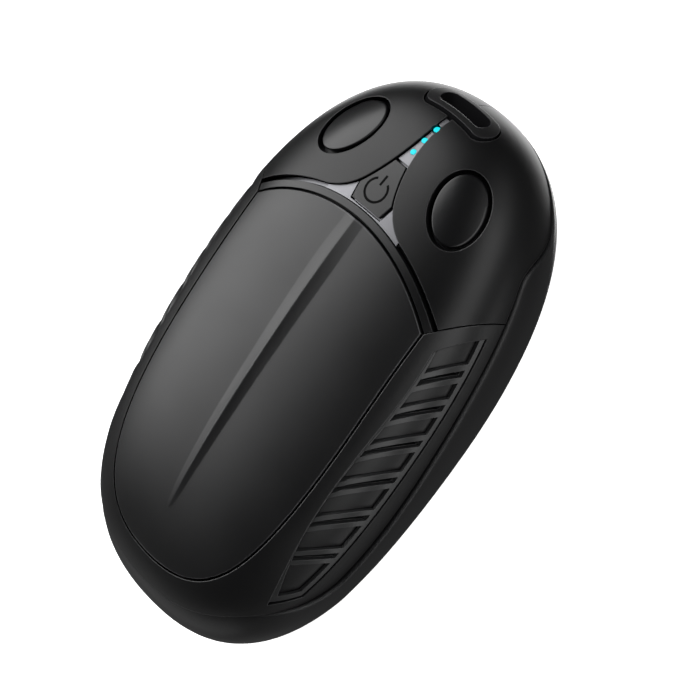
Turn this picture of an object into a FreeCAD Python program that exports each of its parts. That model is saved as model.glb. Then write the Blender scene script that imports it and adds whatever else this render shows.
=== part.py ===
import FreeCAD, Part
import math
import os
import Sketcher

from FreeCAD import Placement, Rotation, Vector

# A rechargeable hand warmer: a pebble that fills the palm, with a heated plate on
# each side, ribbed flanks, a bumper band round the waist and a beetle-like head that
# carries two dished thumb rests, a power button, three lamps and the charging port.
#
# Everything is drawn from the middle of the widest section: X across the width,
# Y towards the head, Z towards the front plate. The finished pieces are then lifted
# so that the flat of the rear plate lies on Z = 0 under the middle of the outline.

doc = FreeCAD.newDocument("HandWarmer")
sheet = doc.addObject("Spreadsheet::Sheet", "Sizes")

SIZES = [
    # the pebble
    ("body_width", "58", "width over the two flanks"),
    ("head_length", "49.5", "widest section to the tip of the head"),
    ("tail_length", "53", "widest section to the tip of the tail"),
    ("front_height", "17.5", "widest section to the top of the front"),
    ("rear_height", "16.5", "widest section to the flat of the back"),
    ("head_round_share", "0.668", "fullness of the outline at the head"),
    ("tail_round_share", "0.732", "fullness of the outline at the tail"),
    ("front_round_share", "0.725", "fullness of the front's crown"),
    ("rear_round_share", "0.69", "fullness of the back's crown"),
    ("rear_flat_share", "0.35", "flat part of the back"),
    ("shell_wall", "2.8", "wall of the two shells"),
    ("seat_clearance", "0.1", "room round a piece that sits in a recess"),
    ("overrun", "20", "how far a cutting tool runs past the body"),
    # the waist band and the two seams along it
    ("band_swell", "0.7", "how far the band stands out at the waist"),
    ("band_head_swell", "0.08", "the same round the head"),
    ("band_round_share", "0.64", "fullness of the band's bead"),
    ("band_wall", "2.2", "wall of the band"),
    ("seam_gap", "0.2", "open joint between band and shells"),
    ("seam_tail", "47", "where the seams level out at the tail"),
    ("seam_flank", "26", "where the band is narrowest on the flank"),
    ("seam_belly", "20", "where the band reaches its full width"),
    ("seam_cheek", "29.5", "where the seams turn down at the cheek"),
    ("seam_head", "41", "where the seams level out at the head"),
    ("tail_rise", "9.4", "upper seam above the waist, at the tail"),
    ("flank_rise", "1.5", "upper seam above the waist, on the flank"),
    ("cheek_rise", "3.6", "upper seam above the waist, at the cheek"),
    ("head_drop", "3", "upper seam below the waist, at the head"),
    ("tail_drop", "10.4", "lower seam below the waist, at the tail"),
    ("flank_drop", "4.6", "lower seam below the waist, on the flank"),
    ("cheek_drop", "6", "lower seam below the waist, at the cheek"),
    ("head_strip", "1.1", "width of the band round the head"),
    # the front heat plate and its ridge
    ("panel_half_width", "20.75", "half width of the front plate's recess"),
    ("panel_front", "24.6", "recess, widest section to the front arc"),
    ("panel_arc_radius", "30.5", "radius of the front arc"),
    ("panel_tail", "43.8", "recess, widest section to the tail end"),
    ("panel_round_share", "0.75", "fullness of the tail end"),
    ("plate_gap", "0.42", "open joint round a heat plate"),
    ("plate_thickness", "1.2", "thickness of a heat plate"),
    ("window_half_width", "18", "half width of the opening under a heat plate"),
    ("window_head", "20", "widest section to the opening's head end"),
    ("window_tail", "32.5", "widest section to the opening's tail end"),
    ("ridge_half_width", "3.2", "half width of the ridge, with its buried feet"),
    ("ridge_height", "0.5", "height of the ridge"),
    ("ridge_root", "0.12", "how far the ridge's feet are buried in the plate"),
    ("ridge_tail", "34", "widest section to the ridge's tail end"),
    # the rear heat plate
    ("back_half_width", "20.75", "half width of the rear plate's recess"),
    ("back_head", "39", "widest section to the recess's head end"),
    ("back_tail", "44.5", "widest section to the recess's tail end"),
    # the head: recess, arch trim, pads and eyes
    ("head_recess", "1.7", "depth of the recess under the head's trim"),
    ("trim_depth", "1.6", "underside of the head's trim, below the crown"),
    ("shoulder_angle", "52.6", "lean of the seam from plate to flank"),
    ("arch_gap", "0.06", "joint between front plate and arch"),
    ("arch_width", "1.2", "width of the arch trim"),
    ("arch_sink", "0.15", "arch below the crown"),
    ("arm_gap", "0.9", "channel between arch and pads"),
    ("slit_half_width", "0.55", "half width of the slit between the pads"),
    ("slit_end", "46.6", "where the pads close up behind the port"),
    ("slit_start", "43", "where the slit starts to flare"),
    ("eye_side", "12.7", "eye's distance from the middle"),
    ("eye_ahead", "35.1", "eye's distance from the widest section"),
    ("eye_length", "13.5", "length of the eye's hole"),
    ("eye_width", "9.2", "width of the eye's hole"),
    ("eye_lean", "27.5", "turn of the eye in plan"),
    ("eye_gap", "0.55", "groove round the eye disc"),
    ("eye_sink", "0.1", "rim of the disc below the pad"),
    ("dish_depth", "0.9", "depth of the dished face"),
    # the light bar
    ("guide_sink", "0.5", "silver inlay below the crown"),
    ("tip_sink", "0.3", "tip of the inlay below the crown"),
    ("inlay_gap", "0.18", "open joint between inlay and pads"),
    ("arm_sink", "1.3", "floor of the channel beside the arch"),
    ("guide_reach", "8.6", "how far the silver wedges reach sideways"),
    ("guide_tip", "45.4", "widest section to the tip of the inlay"),
    ("lamp_first", "37.9", "widest section to the first lamp"),
    ("lamp_pitch", "2.4", "spacing of the lamps"),
    ("lamp_count", "3", "number of lamps"),
    ("lens_radius", "0.45", "radius of a lamp's lens"),
    ("lamp_ring", "0.3", "dark ring round the last lamp"),
    ("lens_sink", "0.4", "lens below the crown"),
    ("lens_length", "0.85", "length of a lens"),
    ("lens_clearance", "0.06", "room round a lens"),
    ("led_sink", "1.3", "lamp's chip below the crown"),
    ("led_width", "0.5", "width of a lamp's chip"),
    ("strip_width", "2.2", "width of the flexible lamp strip"),
    ("strip_thickness", "0.2", "thickness of the lamp strip"),
    ("strip_margin", "0.6", "strip past the outer lamps"),
    # the power button and its switch
    ("button_gap", "0.4", "open joint round the button"),
    ("button_sink", "0.15", "button below the crown"),
    ("button_cap", "0.7", "thickness of the button's cap"),
    ("button_crown", "35.3", "widest section to the cap's head end"),
    ("button_waist", "29.2", "widest section to the cap's wide corners"),
    ("button_base", "26.55", "widest section to the cap's tail end"),
    ("button_base_half", "3.2", "half length of the cap's tail end"),
    ("stem_ahead", "30.5", "widest section to the button's stem"),
    ("stem_radius", "1.5", "radius of the stem"),
    ("collar_radius", "2.2", "radius of the stem's snap collar"),
    ("collar_height", "0.8", "height of the snap collar"),
    ("collar_gap", "0.3", "collar below the deck"),
    ("switch_size", "6", "side of the switch's body"),
    ("switch_height", "3.5", "height of the switch's body"),
    ("plunger_radius", "1.7", "radius of the switch's plunger"),
    ("plunger_stand", "1.5", "plunger above the switch's body"),
    ("plunger_sunk", "1", "plunger inside the switch's body"),
    ("plunger_room", "0.6", "free room below the plunger"),
    ("plunger_clearance", "0.08", "running clearance of the plunger"),
    # the charging port
    ("port_rise", "7", "port's axis above the widest section"),
    ("bezel_width", "14.6", "width of the port's bezel"),
    ("bezel_height", "4.6", "height of the port's bezel"),
    ("bezel_back", "44", "widest section to the bezel's inner end"),
    ("bezel_gap", "0.3", "open joint round the bezel"),
    ("bezel_stand", "0.25", "bezel above the head's crown"),
    ("slot_width", "10.2", "width of the slot in the bezel"),
    ("slot_height", "2.7", "height of the slot in the bezel"),
    ("slot_flare", "0.2", "how far the slot widens towards its mouth"),
    ("socket_width", "8.94", "width of the socket's steel shell"),
    ("socket_height", "3.26", "height of the socket's steel shell"),
    ("socket_length", "7.3", "length of the socket's steel shell"),
    ("socket_wall", "0.3", "wall of the socket's steel shell"),
    ("socket_front", "45.7", "widest section to the socket's mouth"),
    ("socket_floor", "1.2", "thickness of the insulator's base"),
    ("tongue_width", "6.7", "width of the contact tongue"),
    ("tongue_thickness", "0.7", "thickness of the contact tongue"),
    ("tongue_short", "0.8", "tongue behind the socket's mouth"),
    # the main board
    ("board_thickness", "1", "thickness of the main board"),
    ("board_back", "24.5", "widest section to the board's rear edge"),
    ("board_front", "43.2", "widest section to the board's front edge"),
    ("board_back_half", "19", "half width of the rear edge"),
    ("board_front_half", "8.4", "half width of the front edge"),
    ("board_shoulder", "35.5", "where the board starts to narrow"),
    ("board_shoulder_half", "16.5", "half width at that place"),
    ("chip_size", "5", "side of the controller chip"),
    ("chip_height", "0.9", "height of the controller chip"),
    ("chip_side", "9.5", "chip's distance from the middle"),
    ("chip_ahead", "37", "chip's distance from the widest section"),
    ("coil_radius", "2.6", "radius of the inductor"),
    ("coil_height", "2", "height of the inductor"),
    # the cells, their cradle and the heaters
    ("cell_width", "34", "width of a pouch cell"),
    ("cell_length", "52", "length of a pouch cell"),
    ("cell_height", "8", "thickness of a pouch cell"),
    ("cell_round", "1.5", "rounding of a pouch cell"),
    ("cell_front", "21", "widest section to the cells' head end"),
    ("cell_tape", "0.4", "tape between the two cells"),
    ("tab_width", "4", "width of a cell's tab"),
    ("tab_thickness", "0.2", "thickness of a cell's tab"),
    ("tab_length", "5", "length of a cell's tab"),
    ("tab_side", "6", "tab's distance from the middle"),
    ("cradle_wall", "1.1", "wall and floor of the cell cradle"),
    ("cradle_height", "7", "height of the cradle's walls"),
    ("cradle_fin", "1.6", "thickness of the cradle's locating fins"),
    ("cradle_fin_height", "5", "height of the locating fins"),
    ("cradle_fin_place", "14", "fins' distance from the cells' middle"),
    ("film_thickness", "0.3", "thickness of a heater film"),
    ("film_margin", "0.6", "film inside the opening under its plate"),
    ("foam_margin", "4", "foam pad inside the opening under its plate"),
    ("bead_radius", "1.2", "radius of the temperature sensor"),
    ("bead_height", "1.4", "height of the temperature sensor"),
    ("bead_side", "4", "sensor's distance from the middle"),
    ("bead_ahead", "18", "sensor's distance from the widest section"),
    ("lead_radius", "0.55", "radius of an insulated lead"),
    ("lead_bend", "1.8", "bend radius of a lead"),
    ("heater_lead_side", "14.2", "heater leads' distance from the middle"),
    ("heater_lead_start", "10", "widest section to their solder spots"),
    ("heater_lead_end", "26.5", "widest section to their board end"),
    ("front_lead_rise", "10.2", "front leads' run above the widest section"),
    ("rear_lead_drop", "10.6", "rear leads' run below the widest section"),
    ("cell_lead_end", "28.5", "widest section to the cell leads' board end"),
    # the fasteners
    ("screw_radius", "1", "radius of a case screw"),
    ("screw_head_radius", "1.9", "radius of its head"),
    ("screw_head_height", "1.3", "height of its head"),
    ("screw_grip", "7", "length of thread in the front shell"),
    ("screw_seat", "10.2", "seat of the head, below the widest section"),
    ("boss_radius", "2.7", "radius of a screw boss"),
    ("boss_split", "1.2", "where the bosses meet, below the widest section"),
    ("head_screw_side", "10", "head screws' distance from the middle"),
    ("head_screw_ahead", "30.5", "head screws' distance from the widest section"),
    ("tail_screw_side", "8", "tail screws' distance from the middle"),
    ("tail_screw_behind", "38.5", "tail screws' distance from the widest section"),
    # the flank vents
    ("vent_high", "12.9", "crest of a vent's upper edge, from the waist"),
    ("vent_crest_behind", "2", "crest's distance behind the widest section"),
    ("vent_shoulder_high", "11.15", "upper edge where it falls towards the tail"),
    ("vent_shoulder_behind", "28", "that place, behind the widest section"),
    ("vent_tip_behind", "36.6", "tail tip of the vent"),
    ("vent_tip_high", "8.3", "height of the tail tip"),
    ("vent_heel_behind", "32.4", "tail end of the lower edge"),
    ("vent_heel_high", "5.3", "height of the lower edge at the tail"),
    ("vent_head_high", "12.2", "height of the upper edge at the head end"),
    ("vent_head_low", "6.05", "height of the lower edge at the head end"),
    ("vent_head_ahead", "8.2", "centre of the bowed head end"),
    ("vent_rear_shift", "1.5", "lower edge further from the waist on the rear half"),
    ("vent_radius", "14", "radius of the bowed bars and head end"),
    ("vent_rim", "0.42", "grille's rim along the upper edge"),
    ("vent_foot", "0.9", "grille's rim along the lower edge"),
    ("vent_lip", "0.2", "grille's rim at the head end"),
    ("vent_count", "6", "number of bars in a vent"),
    ("vent_first", "2", "centre of the first bar's bow"),
    ("vent_pitch", "6.4", "spacing of the first two bars"),
    ("vent_growth", "0.52", "growth of the spacing from bar to bar"),
    ("vent_bar", "3.5", "width of a bar along the flank"),
    ("vent_slot", "1.25", "width of the slot in a bar, along the flank"),
    ("vent_sink", "0.25", "grille below the skin"),
    ("grille_depth", "0.5", "thickness of a grille"),
    ("slot_sink", "1.6", "depth of the slots in the bars"),
]

for row, (alias, value, meaning) in enumerate(SIZES, start=1):
    sheet.set("A%d" % row, meaning)
    sheet.set("B%d" % row, value)
    sheet.setAlias("B%d" % row, alias)
doc.recompute()


def size(alias):
    return float(sheet.get(alias))


HALF_WIDTH = size("body_width") / 2
RISE = Vector(0, 0, 1)
ACROSS = Vector(1, 0, 0)
AHEAD = Vector(0, 1, 0)
nodes = []


# The pebble

def pebble_solid(half_width, head, tail, front, rear, front_share, rear_share):
    """One smooth skin: the oval outline, scaled by the crown's profile, on a flat foot."""
    head_share = size("head_round_share")
    tail_share = size("tail_round_share")
    flat = size("rear_flat_share")
    outline = [
        (0, -tail), (tail_share * half_width, -tail), (half_width, -tail_share * tail),
        (half_width, head_share * head), (head_share * half_width, head), (0, head),
    ]
    profile = [
        (flat, -rear), (flat + (1 - flat) * rear_share, -rear), (1, -rear_share * rear),
        (1, front_share * front), (front_share, front), (0, front),
    ]
    round_knots = [0, tail_share * tail, tail_share * tail + head_share * head]
    rise_knots = [0, rear_share * rear, rear_share * rear + front_share * front]
    faces = []
    for side in (1, -1):
        poles = [[Vector(side * x * scale, y * scale, z) for scale, z in profile]
                 for x, y in outline]
        surface = Part.BSplineSurface()
        surface.buildFromPolesMultsKnots(
            poles, [4, 2, 4], [4, 2, 4], round_knots, rise_knots, False, False, 3, 3)
        faces.append(surface.toShape())
    rims = [face.Surface.vIso(0).toShape() for face in faces]
    faces.append(Part.Face(Part.Wire(Part.__sortEdges__(rims))))
    shell = Part.Shell(faces)
    shell.sewShape()
    solid = Part.Solid(shell)
    if solid.Volume < 0:
        solid.reverse()
    return solid


pebbles = {}


def pebble(*depth_sizes):
    """The pebble lowered all round by the sum of the named depths."""
    depth = sum(size(alias) for alias in depth_sizes)
    key = "_".join(depth_sizes) or "crown"
    if key not in pebbles:
        body = doc.addObject("Part::Feature", "pebble_" + key)
        body.Shape = pebble_solid(
            HALF_WIDTH - depth, size("head_length") - depth, size("tail_length") - depth,
            size("front_height") - depth, size("rear_height") - depth,
            size("front_round_share"), size("rear_round_share"))
        pebbles[key] = body
    return pebbles[key]


def crown_point(x, y, *depth_sizes, side=1):
    """Point of the lowered crown over a place in plan, and its normal; side -1 is the back."""
    solid = pebble(*depth_sizes).Shape
    height = size("front_height") + size("rear_height")
    inside = solid.common(Part.makeLine(Vector(x, y, 0), Vector(x, y, side * height)))
    top = max((vertex.Point for vertex in inside.Vertexes), key=lambda point: side * point.z)
    face = min(solid.Faces, key=lambda candidate: candidate.distToShape(Part.Vertex(top))[0])
    normal = face.normalAt(*face.Surface.parameter(top))
    return top, normal if normal.z > 0 else -normal


# Tools shared by the pieces

def bind(thing, **expressions):
    for path, expression in expressions.items():
        thing.setExpression(path.replace("__", "."), expression)
    return thing


def cut(name, base, *tools):
    for number, tool in enumerate(tools):
        step = doc.addObject("Part::Cut", "%s_cut%d" % (name, number))
        step.Base, step.Tool = base, tool
        base = step
    return base


def common(name, base, *others):
    for number, other in enumerate(others):
        step = doc.addObject("Part::Common", "%s_common%d" % (name, number))
        step.Base, step.Tool = base, other
        base = step
    return base


def fuse(name, *parts):
    whole = doc.addObject("Part::MultiFuse", name + "_fuse")
    whole.Shapes = list(parts)
    return whole


def bundle(name, parts):
    group = doc.addObject("Part::Compound", name + "_set")
    group.Links = list(parts)
    return group


def layer(outer, inner):
    """The skin between two depths, each a tuple of named depths."""
    name = "layer_%s_to_%s" % ("_".join(outer) or "crown", "_".join(inner))
    found = doc.getObject(name + "_cut0")
    return found or cut(name, pebble(*outer), pebble(*inner))


def prism(name, edges, along, forward, backward="0"):
    outline = doc.addObject("Part::Feature", name + "_outline")
    outline.Shape = Part.Wire(Part.__sortEdges__(edges))
    solid = doc.addObject("Part::Extrusion", name)
    solid.Base = outline
    solid.DirMode = "Custom"
    solid.Dir = along
    solid.Solid = True
    return bind(solid, LengthFwd=forward, LengthRev=backward)


def upright(name, edges):
    """A prism through the front half, from below the waist to above the crown."""
    return prism(name, edges, RISE, "Sizes.front_height + Sizes.overrun", "Sizes.overrun")


def sideways(name, edges):
    """A prism right through both flanks."""
    reach = "Sizes.body_width / 2 + Sizes.overrun"
    return prism(name, edges, ACROSS, reach, reach)


def cylinder(name, radius, height, x="0", y="0", z="0"):
    round_bar = doc.addObject("Part::Cylinder", name)
    return bind(round_bar, Radius=radius, Height=height,
                Placement__Base__x=x, Placement__Base__y=y, Placement__Base__z=z)


def box(name, length, width, height, x, y, z):
    """A block whose X and Y are given for its middle and Z for its foot."""
    block = doc.addObject("Part::Box", name)
    return bind(block, Length=length, Width=width, Height=height,
                Placement__Base__x="%s - (%s) / 2" % (x, length),
                Placement__Base__y="%s - (%s) / 2" % (y, width), Placement__Base__z=z)


def node(thing, label):
    """Names a finished piece and lifts it onto the table."""
    thing.Label = label
    bind(thing, Placement__Base__y="(Sizes.tail_length - Sizes.head_length) / 2",
         Placement__Base__z="Sizes.rear_height")
    nodes.append(thing)
    return thing


def line(start, end):
    return Part.LineSegment(start, end).toShape()


def polygon(points):
    return [line(a, b) for a, b in zip(points, points[1:] + points[:1])]


def arc_about(centre, start, end):
    """The shorter arc from start to end round a centre."""
    radius = (start - centre).Length
    middle = (start - centre) + (end - centre)
    return Part.Arc(start, centre + middle.normalize() * radius, end).toShape()


def mirrored(edges):
    return [edge.mirror(Vector(), ACROSS) for edge in edges]


# Seams seen from the side: smooth waves that level out at each named station

def seam_wave(stations, shift):
    edges = []
    wave_share = 0.45
    points = [Vector(0, y, z + shift) for y, z in stations]
    for start, end in zip(points, points[1:]):
        if start.z == end.z:
            edges.append(line(start, end))
            continue
        run = Vector(0, (end.y - start.y) * wave_share, 0)
        curve = Part.BezierCurve()
        curve.setPoles([start, start + run, end - run, end])
        edges.append(curve.toShape())
    return edges


reach_tail = -size("tail_length") - size("overrun")
reach_head = size("head_length") + size("overrun")
UPPER_SEAM = [
    (reach_tail, size("tail_rise")), (-size("seam_tail"), size("tail_rise")),
    (-size("seam_flank"), size("flank_rise")), (size("seam_belly"), size("cheek_rise")),
    (size("seam_cheek"), size("cheek_rise")), (size("seam_head"), -size("head_drop")),
    (reach_head, -size("head_drop")),
]
head_floor = -size("head_drop") - size("head_strip")
LOWER_SEAM = [
    (reach_tail, -size("tail_drop")), (-size("seam_tail"), -size("tail_drop")),
    (-size("seam_flank"), -size("flank_drop")), (size("seam_belly"), -size("cheek_drop")),
    (size("seam_head"), head_floor), (reach_head, head_floor),
]


def zone(name, lower, upper):
    ends = [line(lower[0].firstVertex().Point, upper[0].firstVertex().Point),
            line(lower[-1].lastVertex().Point, upper[-1].lastVertex().Point)]
    return sideways(name, lower + upper + ends)


half_gap = size("seam_gap") / 2
ceiling = size("front_height") + size("overrun")
cellar = -size("rear_height") - size("overrun")
front_zone = zone("front_zone", seam_wave(UPPER_SEAM, half_gap),
                  [line(Vector(0, reach_tail, ceiling), Vector(0, reach_head, ceiling))])
band_zone = zone("band_zone", seam_wave(LOWER_SEAM, half_gap),
                 seam_wave(UPPER_SEAM, -half_gap))
rear_zone = zone("rear_zone",
                 [line(Vector(0, reach_tail, cellar), Vector(0, reach_head, cellar))],
                 seam_wave(LOWER_SEAM, -half_gap))


# Plan outlines

ARCH_CENTRE = Vector(0, size("panel_front") - size("panel_arc_radius"), 0)


def on_arch(radius, x):
    return ARCH_CENTRE + Vector(x, math.sqrt(radius ** 2 - x ** 2), 0)


def quarter(corner_x, corner_y, share):
    """A quarter of an oval from the end of the Y half-axis to that of the X half-axis."""
    curve = Part.BezierCurve()
    curve.setPoles([Vector(0, corner_y, 0), Vector(corner_x * share, corner_y, 0),
                    Vector(corner_x, corner_y * share, 0), Vector(corner_x, 0, 0)])
    return curve.toShape()


def panel_edges(inset):
    """Front plate: round tail, straight flanks and a front arc, drawn in by inset."""
    half = size("panel_half_width") - inset
    corner = on_arch(size("panel_arc_radius") - inset, half)
    mirror_corner = Vector(-corner.x, corner.y, 0)
    right = [quarter(half, inset - size("panel_tail"), size("panel_round_share")),
             line(Vector(half, 0, 0), corner)]
    return right + mirrored(right) + [arc_about(ARCH_CENTRE, corner, mirror_corner)]


def back_edges(inset):
    """Rear plate: an oval drawn in by inset."""
    half = size("back_half_width") - inset
    right = [quarter(half, size("back_head") - inset, size("head_round_share")),
             quarter(half, inset - size("back_tail"), size("tail_round_share"))]
    return right + mirrored(right)


def window_edges(inset):
    """The opening through a shell under its heat plate, drawn in by inset."""
    half = size("window_half_width") - inset
    right = [quarter(half, size("window_head") - inset, size("head_round_share")),
             quarter(half, inset - size("window_tail"), size("tail_round_share"))]
    return right + mirrored(right)


lean = math.radians(size("shoulder_angle"))
SHOULDER = Vector(math.cos(lean), math.sin(lean), 0)
SHOULDER_SIDE = Vector(math.sin(lean), -math.cos(lean), 0)
shoulder_foot = on_arch(size("panel_arc_radius"), size("panel_half_width"))
FAR = size("head_length") + size("overrun")


def shoulder_point(radius, inset):
    """Where an arc about the arch's centre meets the shoulder seam, drawn in by inset."""
    foot = shoulder_foot - SHOULDER_SIDE * inset - ARCH_CENTRE
    along = foot.dot(SHOULDER)
    return ARCH_CENTRE + foot + SHOULDER * (
        math.sqrt(along ** 2 - foot.dot(foot) + radius ** 2) - along)


def shoulder_end(point):
    return point + SHOULDER * (FAR / SHOULDER.y)


def head_edges(radius, inset):
    """The head's own ground in plan, ahead of an arc and inside both shoulder seams."""
    corner = shoulder_point(radius, inset)
    end = shoulder_end(corner)
    right = [line(corner, end), line(end, Vector(0, end.y, 0))]
    return right + mirrored(right) + [
        arc_about(ARCH_CENTRE, corner, Vector(-corner.x, corner.y, 0))]


# A pad's inner edge: slit, flare, an arc round the eye, then the arch's own curve

LAMPS = [size("lamp_first") + number * size("lamp_pitch")
         for number in range(int(size("lamp_count")))]
EYE = Vector(size("eye_side"), size("eye_ahead"), 0)
pad_radius = (size("panel_arc_radius") + size("arch_gap") + size("arch_width")
              + size("arm_gap"))
eye_radius = (EYE - ARCH_CENTRE).Length - pad_radius
flare_x = EYE.x - size("slit_half_width")
flare_y = size("slit_start") - EYE.y
flare_radius = ((flare_x ** 2 + flare_y ** 2 - eye_radius ** 2)
                / (2 * (flare_x - eye_radius)))
FLARE_CENTRE = Vector(size("slit_half_width") + flare_radius, size("slit_start"), 0)


def pad_curve(inset, start_y):
    """The edge's points and arcs, from beside the slit to the arch; inset widens the gap."""
    start = Vector(flare_x_at(start_y, flare_radius + inset), start_y, 0)
    to_eye = (EYE - FLARE_CENTRE).normalize()
    turn = FLARE_CENTRE + to_eye * (flare_radius + inset)
    arch_radius = pad_radius - inset
    foot = ARCH_CENTRE + (EYE - ARCH_CENTRE).normalize() * arch_radius
    arcs = [arc_about(FLARE_CENTRE, start, turn), arc_about(EYE, turn, foot)]
    return start, foot, arch_radius, arcs


def pad_edges():
    slit, foot, radius, arcs = pad_curve(0, size("slit_start"))
    corner = shoulder_point(radius, size("seam_gap"))
    end = shoulder_end(corner)
    close = size("seat_clearance") / 2
    inner = [end, Vector(close, end.y, 0), Vector(close, size("slit_end"), 0),
             Vector(slit.x, size("slit_end"), 0), slit]
    return arcs + [arc_about(ARCH_CENTRE, foot, corner), line(corner, end)] + [
        line(a, b) for a, b in zip(inner, inner[1:])]


def guide_edges():
    """The silver inlay with its two arms, between the pads and the arch."""
    tip, foot, radius, arcs = pad_curve(size("inlay_gap"), LAMPS[-1])
    inner = (size("panel_arc_radius") + size("arch_gap") + size("arch_width")
             + size("seat_clearance"))
    outer_corner = shoulder_point(radius, size("seam_gap"))
    inner_corner = shoulder_point(inner, size("seam_gap"))
    right = arcs + [arc_about(ARCH_CENTRE, foot, outer_corner),
                    line(outer_corner, inner_corner), line(tip, Vector(0, tip.y, 0))]
    return right + mirrored(right) + [
        arc_about(ARCH_CENTRE, inner_corner, Vector(-inner_corner.x, inner_corner.y, 0))]


def tip_edges():
    """The short inlay between the last lamp and the port."""
    half = size("slit_half_width") - size("seat_clearance")
    start = LAMPS[-1] + size("lens_radius") + size("lamp_ring")
    return polygon([Vector(half, start, 0), Vector(half, size("guide_tip"), 0),
                    Vector(-half, size("guide_tip"), 0), Vector(-half, start, 0)])


def flare_x_at(y, radius):
    return FLARE_CENTRE.x - math.sqrt(radius ** 2 - (FLARE_CENTRE.y - y) ** 2)


def button_edges(gap):
    """The six-sided cap: straight at both ends, hollow beside the pads."""
    radius = flare_radius + gap
    crown = Vector(flare_x_at(size("button_crown"), radius), size("button_crown"), 0)
    waist = Vector(flare_x_at(size("button_waist"), radius), size("button_waist"), 0)
    base = Vector(size("button_base_half"), size("button_base"), 0)
    right = [arc_about(FLARE_CENTRE, crown, waist), line(waist, base)]
    return right + mirrored(right) + [line(crown, Vector(-crown.x, crown.y, 0)),
                                      line(base, Vector(-base.x, base.y, 0))]


def button_well_edges():
    """The opening in the inlay that the cap moves in, open to the pads on both sides."""
    radius = flare_radius
    gap = size("button_gap")
    crown_y = size("button_crown") + gap
    crown = Vector(flare_x_at(crown_y, radius), crown_y, 0)
    waist = Vector(flare_x_at(size("button_waist"), radius), size("button_waist"), 0)
    base = Vector(size("button_base_half") + gap, size("button_base") - gap, 0)
    right = [arc_about(FLARE_CENTRE, crown, waist), line(waist, base)]
    return right + mirrored(right) + [line(crown, Vector(-crown.x, crown.y, 0)),
                                      line(base, Vector(-base.x, base.y, 0))]


def eye_edges(centre, turn, gap):
    """An ellipse in plan, drawn in by gap."""
    ellipse = Part.Ellipse(Vector(), size("eye_length") / 2 - gap, size("eye_width") / 2 - gap)
    edge = ellipse.toShape()
    edge.Placement = Placement(centre, Rotation(RISE, turn))
    return [edge]


# The flank vents, seen from the side

def bow_point(centre, radius, height):
    """Place at a height on a bow round a point of the waist."""
    return Vector(0, centre + math.sqrt(radius ** 2 - height ** 2), height)


def bow(centre, radius, start, end):
    heights = (start, (start + end) / 2, end)
    return Part.Arc(*[bow_point(centre, radius, height) for height in heights]).toShape()


def vent_edges(side, rim, foot, lip):
    """A vent drawn in by rim above, foot below and lip at the head; side -1 is the rear half."""
    tip_share, heel_share = 5.5, 0.9
    shift = size("vent_rear_shift") if side < 0 else 0
    centre, radius = size("vent_head_ahead"), size("vent_radius") - lip
    head_top = bow_point(centre, radius, side * (size("vent_head_high") - rim))
    head_foot = bow_point(centre, radius, side * (size("vent_head_low") + shift + foot))
    tip = Vector(0, rim * tip_share - size("vent_tip_behind"),
                 side * (size("vent_tip_high") + shift / 2))
    heel = Vector(0, foot * heel_share - size("vent_heel_behind"),
                  side * (size("vent_heel_high") + shift + foot))
    upper = Part.BSplineCurve()
    upper.interpolate([
        head_top, Vector(0, -size("vent_crest_behind"), side * (size("vent_high") - rim)),
        Vector(0, -size("vent_shoulder_behind"), side * (size("vent_shoulder_high") - rim)), tip])
    return [upper.toShape(), line(tip, heel), line(heel, head_foot),
            bow(centre, radius, head_foot.z, head_top.z)]


def bar_edges(side, number, width):
    """A bowed bar across the vent, as a strip of the given width along the flank."""
    centre = (size("vent_first") - number * size("vent_pitch")
              - size("vent_growth") * number * (number - 1) / 2)
    low = side * (size("vent_heel_high") - size("vent_foot"))
    high = side * (size("vent_high") + size("vent_rim"))
    left, right = (bow(centre + half, size("vent_radius"), low, high)
                   for half in (-width / 2, width / 2))
    return [left, right, line(left.firstVertex().Point, right.firstVertex().Point),
            line(left.lastVertex().Point, right.lastVertex().Point)]


def vent_tools(name, side):
    """Outlines of a vent as prisms: pockets between the bars, and slots in the bars."""
    count = int(size("vent_count"))
    field = sideways(name + "_field", vent_edges(
        side, size("vent_rim"), size("vent_foot"), size("vent_lip")))
    bars = [sideways("%s_bar%d" % (name, number), bar_edges(side, number, size("vent_bar")))
            for number in range(count)]
    slots = [sideways("%s_slot%d" % (name, number), bar_edges(side, number, size("vent_slot")))
             for number in range(count)]
    pockets = cut(name + "_pockets", field, bundle(name + "_bars", bars))
    grooves = common(name + "_grooves", bundle(name + "_slots", slots), field)
    return pockets, grooves


VENTS = {"front": vent_tools("front_vent", 1), "rear": vent_tools("rear_vent", -1)}


def vent_cuts(name, side):
    """The bed of a pair of grilles and the deep slots below their bars."""
    bed = sideways(name + "_vent_bed", vent_edges(side, 0, 0, 0))
    return [cut(name + "_vent_shallow", bed, pebble("vent_sink", "grille_depth", "seat_clearance")),
            cut(name + "_vent_deep", VENTS[name][1], pebble("slot_sink"))]


def grilles(name, side):
    """The two ladder-shaped inserts in the flanks of one half of the body."""
    room = size("seat_clearance")
    ladder = cut(name + "_ladder", sideways(name + "_rim", vent_edges(side, room, room, room)),
                 *VENTS[name])
    return common(name + "_grilles", layer(("vent_sink",), ("vent_sink", "grille_depth")), ladder)


# Places inside

deck_top = crown_point(0, size("stem_ahead"), "head_recess")[0].z
deck_foot = crown_point(0, size("stem_ahead") + size("collar_radius"), "shell_wall")[0].z
BOARD_TOP = "(Sizes.port_rise - Sizes.socket_height / 2)"
BOARD_FOOT = "(%s - Sizes.board_thickness)" % BOARD_TOP
PLUNGER_TOP = "(%s + Sizes.switch_height + Sizes.plunger_stand)" % BOARD_TOP
SCREWS = [(side + "Sizes." + across, along)
          for across, along in (("head_screw_side", "Sizes.head_screw_ahead"),
                                ("tail_screw_side", "-Sizes.tail_screw_behind"))
          for side in ("", "-")]


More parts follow.
